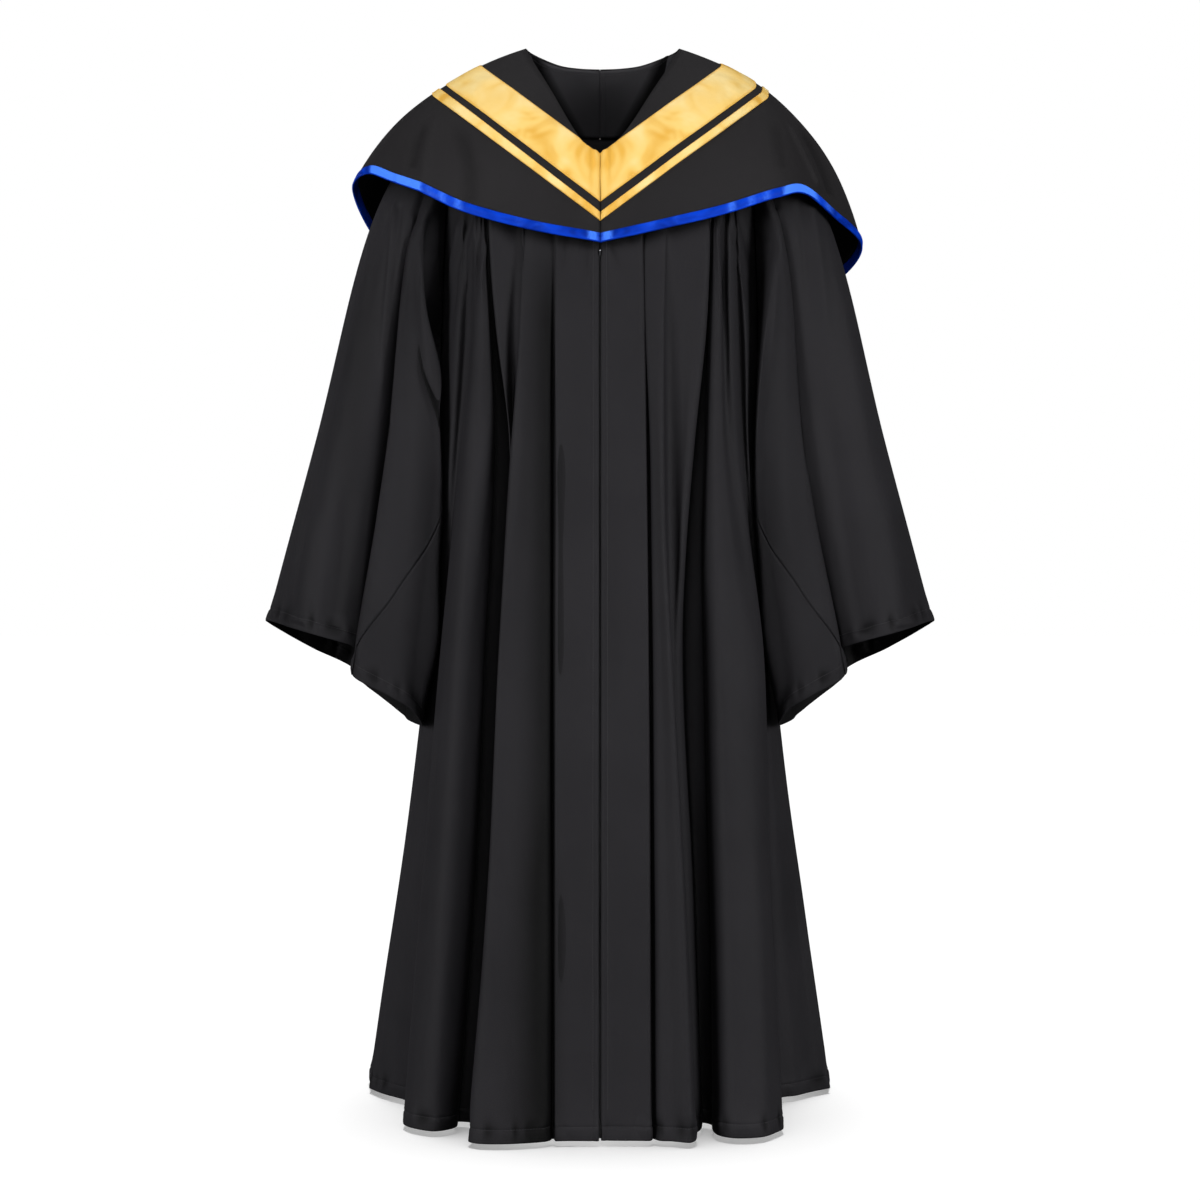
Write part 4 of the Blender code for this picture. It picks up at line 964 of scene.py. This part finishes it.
def yoke(name, node, lines, side, centre_gap):
    """One yoke, from the neck and shoulder down to its seam."""
    lines = np.array(lines) * (-side, 1.0, 1.0)
    lines[0, :, 0] += side * centre_gap
    rows = bend(lines, np.linspace(0.0, 1.0, 25))
    grid = through(rows, spread([32] + [10] * (len(lines) - 2)))
    back_one = name.startswith("yoke_back")
    if name == "yoke_back_right":  # the seam's turned edge, sewn down beside the centre
        grid[..., 1] -= 0.0009 * np.clip((0.0062 - grid[..., 0]) / 0.0008, 0, 1)
    # The inside of the back yokes has the lighter copy of the cloth: painted light.
    made = surface(name, grid, finish["gown_cloth"], CHEST_MIDDLE, wrong_side=finish["neck_cloth_painted_light"] if back_one else None)
    if back_one:  # painted shade: black beside the slanting edges of the opening, lighter in the middle of the neck
        within = 0.0759 + (grid[..., 2] + 0.0054) * 0.636 - np.abs(grid[..., 0])
        values_on(made, "painted_shade", np.interp(within, (0.002, 0.010, 0.020, 0.040), (1.0, 0.5, -0.5, -1.6)))
    place_on(made, node)
    return grid


grids["back"] = back()
for word, side in (("left", -1.0), ("right", 1.0)):
    yoke("yoke_front_" + word, "front_yoke_" + word, FRONT_YOKE, side, 0.0)
    grids["yoke_back_" + word] = yoke("yoke_back_" + word, "back_yoke_" + word, BACK_YOKE, side, -0.0002)


# ---------------------------------------------------------------- sleeves
SLEEVE_CREASES = {
    "left": (
        (((-233.3, -186.6), (-237.2, -260.9), (-244.2, -342.1), (-248.5, -428.6)), 4, 2.5, 0.05, 0.5),
        (((-227.3, -191.1), (-230.7, -261.2), (-237.5, -338.1)), 5, -2, 0.05, 0.5),
        (((-248.2, -190.1), (-258.4, -269.5), (-269.8, -348.8)), 10, -2, 0.05, 0.6),
        (((-212.2, -203.4), (-215.6, -262), (-216.7, -338.8)), 6, 1.5, 0.05, 0.6),
        (((-282.7, -497.1), (-292.8, -598.5), (-304.1, -675)), 14, -4, 0.3, 0.02),
        (((-322.3, -530.4), (-335.9, -609.6), (-343.8, -670.6)), 16, 3, 0.3, 0.02),
        (((-188, -205), (-189, -250), (-186.5, -330), (-181.5, -410), (-177, -460)), 8, -18, 0.12, 0.35),
    ),
    "right": (
        (((240.3, -190.1), (249.4, -269.5), (259.6, -371.5)), 9, 2.5, 0.05, 0.5),
        (((226.2, -186.6), (233, -261.2), (239.8, -349.4)), 7, -2.5, 0.05, 0.5),
        (((200.9, -197.7), (203.1, -262), (203.1, -338.8)), 6, 1.5, 0.05, 0.6),
        (((250, -395.8), (268, -508.4), (290.5, -643.5), (299.5, -681.8)), 14, -4, 0.3, 0.02),
        (((322.3, -496.5), (337, -598.3), (345, -675.2)), 16, 3, 0.3, 0.02),
    ),
}


def gore_seam(places):
    """Share of the sleeve's length at which the gore's seam runs, or 1 where there is none."""
    at, shares = zip(*GORE_SEAM)
    return np.where((places >= at[0]) & (places <= at[-1]), np.interp(places, at, shares), 1.0)


def sleeve_points(places, shares, side):
    """Points of a sleeve: places round it in lines; shares of its length has a row for each row of points."""
    lines = np.array(list(SLEEVE_LINES.values()))
    if side > 0:
        shifts = [RIGHT_SLEEVE_SHIFTS.get(word, (0, 0, 0, 0)) for word in SLEEVE_LINES]
        lines[..., 0] -= np.array(shifts) * MM
        lines[..., 1] -= np.array([RIGHT_SLEEVE_FORWARD.get(word, (0, 0, 0, 0)) for word in SLEEVE_LINES]) * MM
    stations = through(lines.transpose(1, 0, 2), places, closed=True)
    made = np.empty((*shares.shape, 3))
    for column in range(len(places)):
        made[:, column] = through(stations[:, column], shares[:, column] * (lines.shape[1] - 1))
    at, drops = zip(*CUFF_DROPS)
    made[..., 2] -= np.interp(places, at, drops)[None, :] * MM * np.clip((shares - 0.8) / 0.2, 0, 1) ** 2
    swell = INNER_EDGE_SWELL["right" if side > 0 else "left"]
    made[..., 0] += swell * np.exp(-(((places - 7) / 0.55) ** 2))[None, :] * np.exp(-(((shares - 0.88) / 0.08) ** 2))
    return made * (-side, 1.0, 1.0)


def calm_at_seams(places):
    """No turned-up hem where the gore's two seams reach the cuff, so that both pieces meet there."""
    ends = np.array([GORE_SEAM[0][0], GORE_SEAM[-1][0]])
    return (1 - np.exp(-(((places[:, None] - ends) / 0.12) ** 2))).prod(axis=1)[None, :]


def sleeve(word, side):
    """The main piece of a sleeve, all round, cut away where the gore is set in."""
    first, last = GORE_SEAM[0][0], GORE_SEAM[-1][0]
    count = len(SLEEVE_LINES)
    places = np.unique(np.round(np.concatenate([np.arange(0, count, 1 / 18), [first - 0.004, last + 0.004]]), 5))
    near_end = 1 - np.array([0.030, 0.0265, 0.0235, 0.0220, 0.0205, 0.019, 0.015, 0.011, 0.0075, 0.0045, 0.0025, 0.001, 0.0])
    rows = np.concatenate([np.linspace(0.0, 0.965, 120), near_end])
    shares = rows[:, None] * gore_seam(places)[None, :]
    grid = sleeve_points(places, shares, side)
    normals = normals_of(grid, closed=True)
    centre = grid.mean(axis=1, keepdims=True)
    if ((grid - centre) * normals).sum() < 0:
        normals = -normals
    down = np.concatenate([np.zeros((1, len(places))), np.cumsum(np.linalg.norm(np.diff(grid, axis=0), axis=2), axis=0)])
    left_over = down[-1:] - down
    along = np.concatenate([[0.0], np.cumsum(np.linalg.norm(np.diff(grid[-1], axis=0), axis=1))])[None, :]
    in_gore = ((places >= first) & (places <= last))[None, :]
    hem = hem_profile(left_over, along + 0 * left_over, 71, 2.2) * calm_at_seams(places)
    calm = 1 - np.exp(-(((places - 7) / 0.4) ** 2))[None, :]
    seam = -0.0008 * np.exp(-((left_over / 0.0020) ** 2)) + 0.0004 * np.exp(-(((left_over - 0.005) / 0.003) ** 2))
    wander = soft_noise(along / 0.05 + 5, down / 0.14, 81) * 0.0012 * np.clip(down / 0.05, 0, 1)
    grid = grid + normals * (np.where(in_gore, seam, hem) + wander * calm)[..., None]
    loose = np.clip((down - 0.012) / 0.03, 0, 1)[..., None]
    grid = press(grid, normals * (normals[..., 1:2] < 0) * loose, SLEEVE_CREASES[word])
    # The inside of the sleeve has the darker copy of the cloth: painted shade.
    made = surface("arm_" + word, grid, finish["gown_cloth"], grid.mean(axis=(0, 1)), closed=True,
                   wrong_side=finish["inner_cloth_painted_shade"])
    shade = np.where(in_gore, 0.0, hem_shade(left_over, along + 0 * left_over, 71))
    values_on(made, "painted_shade", along_lines(grid, SHADES["sleeve_" + word]) * (normals[..., 1] < 0.1) + shade)
    place_on(made, "sleeve_" + word)
    return grid


def gore(word, side):
    """The three-cornered piece let into the underside of the sleeve at the cuff."""
    first, last = GORE_SEAM[0][0], GORE_SEAM[-1][0]
    places = np.concatenate([[first + 0.004], np.arange(first + 1 / 18, last - 0.01, 1 / 18), [last - 0.004]])
    ends = np.array([0.075, 0.066, 0.062, 0.058, 0.054, 0.045, 0.033, 0.022, 0.012, 0.005, 0.0])
    rows = np.concatenate([[-0.045, -0.003, 0.0, 0.006, 0.014, 0.024], np.linspace(0.04, 0.90, 40), 1 - ends])
    tops = (gore_seam(places) + GORE_GAP)[None, :]
    shares = tops + (1 - tops) * rows[:, None]
    grid = sleeve_points(places, shares, side)
    normals = normals_of(grid)
    middle = sleeve_points(np.array([0.5]), np.array([[0.8]]), side)[0, 0]
    if ((grid - middle) * normals).sum() < 0:
        normals = -normals
    down = np.concatenate([np.zeros((1, len(places))), np.cumsum(np.linalg.norm(np.diff(grid, axis=0), axis=2), axis=0)])
    left_over = down[-1:] - down
    along = np.concatenate([[0.0], np.cumsum(np.linalg.norm(np.diff(grid[-1], axis=0), axis=1))])[None, :]
    hem = hem_profile(left_over, along + 0 * left_over, 91, 1.8) * (1 - np.exp(-(((places - 7) / 0.4) ** 2)))[None, :]
    hem = hem * calm_at_seams(places)
    seam = -0.0008 * np.exp(-(((down - down[2]) / 0.0020) ** 2)) - 0.0017 * (rows < 0)[:, None]
    grid = grid + normals * (hem + seam)[..., None]
    grid = press(grid, normals * (normals[..., 1:2] < 0), SLEEVE_CREASES[word])
    # The inside of the gore has the darker copy of the cloth: painted shade.
    made = surface("gore_" + word, grid, finish["gown_cloth"], middle, wrong_side=finish["inner_cloth_painted_shade"])
    shade = hem_shade(left_over, along + 0 * left_over, 91)
    values_on(made, "painted_shade", along_lines(grid, SHADES["sleeve_" + word]) * (normals[..., 1] < 0.1) + shade)
    place_on(made, "sleeve_gore_" + word)
    return grid


for word, side in (("left", -1.0), ("right", 1.0)):
    grids["sleeve_" + word] = sleeve(word, side)
    grids["gore_" + word] = gore(word, side)


# ---------------------------------------------------------------- cape, bands and binding
CAPE_CREASES = {
    "left": (
        (((-197.9, -98.4), (-207, -126.6), (-213.8, -159.4)), 9, -2.5, 0.3, 0.05),
        (((-186.9, -94), (-193.7, -125.5), (-198.2, -164.9), (-198.2, -181.8)), 9, 1.5, 0.3, 0.05),
        (((-165.2, -103.2), (-152.9, -133.3), (-145.1, -170.2), (-145.1, -202.5)), 11, -3, 0.3, 0.05),
        (((-135.6, -143.3), (-122.3, -176.7), (-114.5, -212.2)), 14, 1.5, 0.3, 0.05),
    ),
    "right": (
        (((214.2, -90.2), (225.7, -119.5), (236.9, -145.2), (248.6, -171.5)), 4.5, 4, 0.25, 0.02),
        (((229.9, -91.2), (244.9, -119), (256.5, -146.7), (265.7, -176.7)), 8, -4, 0.25, 0.02),
        (((199.9, -98.3), (204.5, -126.7), (209, -160.8)), 10, -1.5, 0.3, 0.05),
    ),
}


def cape(word, side):
    """Half the cape with its gold band, gold stripe and blue binding."""
    rows = np.array([[*neck, *crown, *hem, start, slant] for neck, crown, hem, start, slant in CAPE_LINES[word]])
    lines = through(rows, spread([16] * (len(rows) - 1)))
    samples = np.linspace(0.0, 1.0, 81)
    arcs = bend(lines[:, :9].reshape(-1, 3, 3), samples)
    lengths = np.concatenate(
        [np.zeros((1, len(lines))), np.cumsum(np.linalg.norm(np.diff(arcs, axis=0), axis=2), axis=0)]
    )
    start = np.maximum(lines[:, 9], LEAST_BAND_START)
    slant = lines[:, 10]

    def at(ways):
        """Points at ways from the neck edge, one row for each row of ways."""
        made = np.empty((*ways.shape, 3))
        for column in range(ways.shape[1]):
            for axis in range(3):
                made[:, column, axis] = np.interp(ways[:, column], lengths[:, column], arcs[:, column, axis])
        return made

    band_end = start + BAND * slant
    stripe_start = band_end + BAND_TO_STRIPE * slant
    stripe_end = stripe_start + STRIPE * slant
    total = lengths[-1]
    depth = VIEW_DISTANCE / (VIEW_DISTANCE + arcs[..., 1])
    seen_x, seen_z = arcs[..., 0] * depth, camera.location.z + (arcs[..., 2] - camera.location.z) * depth
    to_back = np.clip((np.linspace(0.0, len(rows) - 1, len(lines)) - 4.5) / 1.0, 0.0, 1.0)
    to_back = to_back * to_back * (3 - 2 * to_back)
    edges = []
    for plain_edge, ((x1, z1), (x2, z2)) in zip((start, band_end, stripe_start, stripe_end), BAND_EDGES[word]):
        below = (z1 + (z2 - z1) * (seen_x / MM - x1) / (x2 - x1)) * MM - seen_z
        sewn = np.array([np.interp(0.0, below[:, c], lengths[:, c]) for c in range(len(lines))])
        edges.append(sewn * (1 - to_back) + plain_edge * to_back)
    edges[0] = np.maximum(edges[0], LEAST_BAND_START)
    stops = np.stack([0 * start, *edges, total - BINDING])
    counts = (5, 14, 3, 4, 34)
    ways = [stops[:1]]
    for above, below, count in zip(stops, stops[1:], counts):
        ways += [above + (below - above) * ((k + 1) / count) for k in range(count)]
    ways = np.concatenate([way.reshape(1, -1) for way in ways])
    grid = at(ways)
    grid[:, 0, 0] = grid[:, -1, 0] = side * 0.0002
    normals = normals_of(grid)
    if normals[20, 40, 2] < 0:
        normals = -normals
    wander = soft_noise(lines[:, 6][None, :] / 0.07 + ways / 0.2 + 7, ways / 0.09, 101 + int(side)) * 0.0012
    wander = wander * np.clip(ways / 0.05, 0, 1)
    in_front = np.clip((0.02 - grid[..., 1]) / 0.04, 0, 1)
    grid = press(grid + normals * wander[..., None], normals * in_front[..., None], CAPE_CREASES[word])
    made = surface("cape_half_" + word, grid, finish["cape_cloth"], CHEST_MIDDLE, thickness=CAPE_CLOTH)
    # Painted shade in the troughs of the cape's creases, on its front.
    values_on(made, "painted_shade", np.clip(-along_lines(grid, CAPE_CREASES[word]), 0, 4) * 0.10 * in_front)
    place_on(made, "cape_" + word)

    def ribbon(name, first, last, rise):
        """A ribbon on the cape between two rows of its grid, its edges sewn down."""
        part, out = grid[first : last + 1], normals[first : last + 1]
        fine = np.linspace(0.0, 1.0, 3 * (last - first) + 1)
        part = through(part.transpose(1, 0, 2), fine * (last - first)).transpose(1, 0, 2)
        out = through(out.transpose(1, 0, 2), fine * (last - first)).transpose(1, 0, 2)
        edge = np.minimum(fine, 1 - fine)[:, None]
        body = rise * np.clip(edge / 0.06, 0, 1) ** 0.5 + 0.0006
        way = np.linspace(0.0, 9.0, part.shape[1])[None, :]
        ripple = 0.0009 + soft_noise(way * 2.2 + fine[:, None] * 0.7, fine[:, None] * 1.5, 111 + int(side)) * 0.0009
        ripple = ripple * (1 - 0.92 * np.exp(-(((way - 4.4) / 1.0) ** 2)))
        part = part + out * (body + ripple * np.clip(edge / 0.2, 0, 1))[..., None]
        part = press(part, out, [(((side * x, -120 - x * 0.6), (side * x, -182 - x * 0.6)), 1.8, rise_mm, 0.3, 0.3) for x, rise_mm in SEAM_PUCKERS])
        part[:, 0, 0] = part[:, -1, 0] = side * 0.0001
        ribbon_made = surface(name.replace("gold_", "satin_"), part, finish["gold_satin"], CHEST_MIDDLE, thickness=0.0005)
        across = np.abs(part[..., 0]) / MM
        # Painted shade along the sewn edges; on the front, darker towards the centre front, with painted shade along
        # the centre seam and in the pucker trough beside it.
        sewn = 0.75 * np.clip(1 - edge / 0.05, 0, 1) + 0 * across
        centre_darkening_and_seam_shade = 0.26 * np.exp(-((across / 30) ** 2)) + 0.5 * np.exp(-((across / 2.5) ** 2)) + 0.3 * np.exp(-(((across - 10) / 3) ** 2))
        values_on(ribbon_made, "painted_shade", np.clip(sewn + centre_darkening_and_seam_shade * (part[..., 1] < 0), 0, 1))
        place_on(ribbon_made, name)
        return part

    grids["band_" + word] = ribbon("gold_band_" + word, 5, 19, 0.0006)
    grids["stripe_" + word] = ribbon("gold_stripe_" + word, 22, 26, 0.0005)

    # The binding wraps the cape's edge: front face, turn and back face, as seen in section.
    down = at(np.stack([total - BINDING, total]))
    down = (down[1] - down[0]) / BINDING
    out = normals[-1]
    top = at((total - BINDING)[None, :])[0] + (grid[-1] - at(ways[-1:])[0])
    front_face = np.linspace(0.0, 1.0, 9)
    section = [(share * (BINDING - 0.0012), 0.0007 + 0.0009 * math.sin(math.pi * min(share * 1.15, 1.0)) ** 0.7) for share in front_face]
    turn = np.linspace(0.0, math.pi, 7)[1:-1]
    section += [(BINDING - 0.0012 + 0.0014 * math.sin(a), -0.0005 + 0.0014 * math.cos(a)) for a in turn]
    section += [(share * (BINDING - 0.0012), -0.0022 - 0.0004 * math.sin(math.pi * share)) for share in front_face[::-1]]
    way = lengths_along(top[None], 1)
    ripple = (soft_noise(way / 0.022, way * 0, 121 + int(side)) * 0.0007 + soft_noise(way / 0.009, way * 0, 131) * 0.0003)
    binding_grid = np.array(
        [
            top + down * fall + out * (rise + ripple[:, None] * math.sin(math.pi * min(max(fall / BINDING, 0.0), 1.0)) * (rise > 0))
            for fall, rise in section
        ]
    )
    binding_grid[:, 0, 0] = binding_grid[:, -1, 0] = side * 0.0002
    made = surface("blue_edge_" + word, binding_grid, finish["blue_satin"], binding_grid.mean(axis=0), thickness=0.0004)
    # Painted highlights on the front face of the blue binding, at the places in the table.
    painted_highlight = np.zeros(binding_grid.shape[:2])
    for middle, reach, strength in BLUE_PAINTED_HIGHLIGHTS[word]:
        painted_highlight += strength * np.exp(-(((binding_grid[..., 0] / MM - middle) / reach) ** 2))
    painted_highlight[:, binding_grid[0, :, 1] > 0.0] = 0.2
    painted_highlight[len(front_face) :] = 0.0
    values_on(made, "painted_highlight", painted_highlight)
    place_on(made, "binding_" + word)
    return grid


for word, side in (("left", -1.0), ("right", 1.0)):
    grids["cape_" + word] = cape(word, side)


# ---------------------------------------------------------------- zip
def zip_tape(word, side):
    """The strip of the zip behind a placket's edge, from the slider down."""
    z = np.linspace(-0.2590, HEM_Z + 0.002, 170)
    y = at_levels(SEAM_LEVELS, PLACKET_Y, z) + (0.0036 if side < 0 else 0.0040)
    x = side * np.array([-0.0006, 0.0015, 0.0030, 0.0065, 0.0118])
    grid = np.stack([np.broadcast_to(x, (len(z), 5)), y[:, None] + 0 * x, np.broadcast_to(z[:, None], (len(z), 5))], axis=2)
    made = surface("tape_" + word, grid, finish["zip_tape"], BODY_MIDDLE, thickness=0.0004)
    place_on(made, "zip_tape_" + word)


def zip_teeth():
    """The coil of the zip: small rounded teeth from both tapes that mesh down the middle."""
    z = np.arange(-0.2650, HEM_Z + 0.004, -0.0013)
    y = at_levels(SEAM_LEVELS, PLACKET_Y, z) + 0.0027
    x = np.where(np.arange(len(z)) % 2, 0.0007, -0.0007)
    centres = np.stack([x, y, z], axis=1)
    along = np.tile((1.0, 0.0, 0.0), (len(z), 1))
    out = np.tile((0.0, -1.0, 0.0), (len(z), 1))
    made = beads("zip_teeth", centres, along, out, (0.0030, 0.0011, 0.0011), finish["zip_tape"], 5)
    place_on(made, None)


for word, side in (("left", -1.0), ("right", 1.0)):
    zip_tape(word, side)
zip_teeth()


def rounded_block(name, parts, material, edge=0.0004):
    """Small blocks with rounded edges, joined in one mesh: each part is its centre and size."""
    shape = bmesh.new()
    for centre, size in parts:
        made = bmesh.ops.create_cube(shape, size=1.0)
        bmesh.ops.scale(shape, vec=Vector(size), verts=made["verts"])
        bmesh.ops.translate(shape, vec=Vector(centre), verts=made["verts"])
    mesh = bpy.data.meshes.new(name)
    shape.to_mesh(mesh)
    shape.free()
    mesh.materials.append(finish[material])
    made = bpy.data.objects.new(name, mesh)
    bpy.context.scene.collection.objects.link(made)
    soften = made.modifiers.new("Bevel", "BEVEL")
    soften.width = edge
    soften.segments = 3
    return made


def slider():
    """The zip's slider at the top of the zip: a dark body, its bridge, and above them a small piece of bright metal
    that is a painted glint.
    """
    low, high = (Vector(corner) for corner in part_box("zip_slider"))
    centre, size = (low + high) / 2, high - low
    x, y, z = centre
    front_y = low.y
    body = rounded_block("slider", (
        ((x, centre.y + size.y * 0.20, z), (size.x, size.y * 0.45, size.z)),
        ((x, front_y + size.y * 0.30, z - size.z * 0.02), (size.x * 0.30, size.y * 0.5, size.z * 0.62)),
    ), "slider_metal")
    place_on(body, "zip_slider")
    # Painted highlight: a small piece of bright metal stands in for the glint at the top of the slider.
    glint_piece = rounded_block("slider_glint", (((x, front_y + 0.0006, high.z - 0.0016), (0.0014, 0.0012, 0.0012)),), "glint_metal", 0.00035)
    place_on(glint_piece, None)


slider()

# ---------------------------------------------------------------- stitching
hem_runs = []
for word, side in (("left", -1.0), ("right", 1.0)):
    path, down = above_edge(grids["front_" + word], HEM_STITCH)
    seen = side * path[:, 0] > abs(PLACKET_EDGE[word][-1]) + 0.001
    hem_runs.append((path[seen], down[seen]))
    hem_runs.append(above_edge(grids["placket_" + word], HEM_STITCH))
hem_runs.append(above_edge(grids["back"], HEM_STITCH))
stitches("hem_stitches", hem_runs, BODY_MIDDLE)

for word, side in (("left", -1.0), ("right", 1.0)):
    grid = grids["sleeve_" + word]
    path, down = above_edge(grid, HEM_STITCH)
    count = len(SLEEVE_LINES)
    places = np.unique(np.round(np.concatenate([
        np.arange(0, count, 1 / 18), [GORE_SEAM[0][0] - 0.004, GORE_SEAM[-1][0] + 0.004]]), 5))
    first = int(np.sum(places < GORE_SEAM[0][0]))
    last = int(np.sum(places <= GORE_SEAM[-1][0]))
    path, down = (np.concatenate([a[last:], a[:first]]) for a in (path, down))
    middle = grid[-1].mean(axis=0)
    stitches("cuff_stitches_" + word, [(path, down), above_edge(grids["gore_" + word], HEM_STITCH)], middle)

zip_runs = []
for word in ("left", "right"):
    strip = grids["placket_" + word]
    rows = slice(10, -14)
    zip_runs.append((strip[rows, 6], strip[rows, 7] - strip[rows, 6]))
stitches("zip_stitches", zip_runs, BODY_MIDDLE)

neck_runs = [above_edge(grids["yoke_back_" + word][::-1], 0.0055) for word in ("left", "right")]
seam = grids["yoke_back_right"]
column = int(np.argmin(np.abs(seam[12, :, 0] - 0.0048)))
neck_runs.append((seam[2:, column], seam[2:, column + 1] - seam[2:, column]))
stitches("neck_stitches", neck_runs, (0.0, 1.0, -0.1), lift=CLOTH)

gold_runs = []
for name in ("band_left", "band_right", "stripe_left", "stripe_right"):
    part = grids[name]
    for row, step in ((2, 1), (-3, -1)) if name.startswith("band") else ((1, 1), (-2, -1)):
        gold_runs.append((part[row], part[row + step] - part[row]))
stitches("gold_stitches", gold_runs, CHEST_MIDDLE, 0.0042, size=(0.0022, 0.0005, 0.0004), material="gold_thread")

# ---------------------------------------------------------------- floor
FLOOR_Z = HEM_Z - 0.006
floor_mesh = bpy.data.meshes.new("floor")
floor_mesh.from_pydata([(-30, -30, FLOOR_Z), (30, -30, FLOOR_Z), (30, 30, FLOOR_Z), (-30, 30, FLOOR_Z)], [], [(0, 1, 2, 3)])
floor_finish = Finish(
    "floor", (0.9, 0.9, 0.9), 0.9, Specular_IOR_Level=0.0, Emission_Color=(1.0, 1.0, 1.0, 1.0), Emission_Strength=0.30
)
floor_mesh.materials.append(floor_finish.material)
floor = bpy.data.objects.new("floor", floor_mesh)
bpy.context.scene.collection.objects.link(floor)
floor.visible_diffuse = False
floor.visible_glossy = False

# The studio lights leave the floor out, and a light of its own keeps it white up to the soft shadow under the hem.
lit_floor = bpy.data.collections.new("lit_floor")
lit_floor.objects.link(floor)
all_but_floor = bpy.data.collections.new("all_but_floor")
all_but_floor.objects.link(floor)
all_but_floor.collection_objects[0].light_linking.link_state = "EXCLUDE"
for thing in bpy.context.scene.objects:
    if thing.type == "LIGHT":
        thing.light_linking.receiver_collection = all_but_floor
overhead = bpy.data.lights.new("floor_light", "SUN")
overhead.energy = 2.56
overhead.angle = math.radians(21)
floor_light = bpy.data.objects.new("floor_light", overhead)
floor_light.location = (0.0, 0.0, 3.0)
floor_light.rotation_euler = (math.radians(-4), 0.0, 0.0)
bpy.context.scene.collection.objects.link(floor_light)
floor_light.light_linking.receiver_collection = lit_floor
near_floor = bpy.data.collections.new("near_floor")
for name in ("front_left", "front_right", "strip_left", "strip_right", "back"):
    near_floor.objects.link(bpy.data.objects[name])
floor_light.light_linking.blocker_collection = near_floor
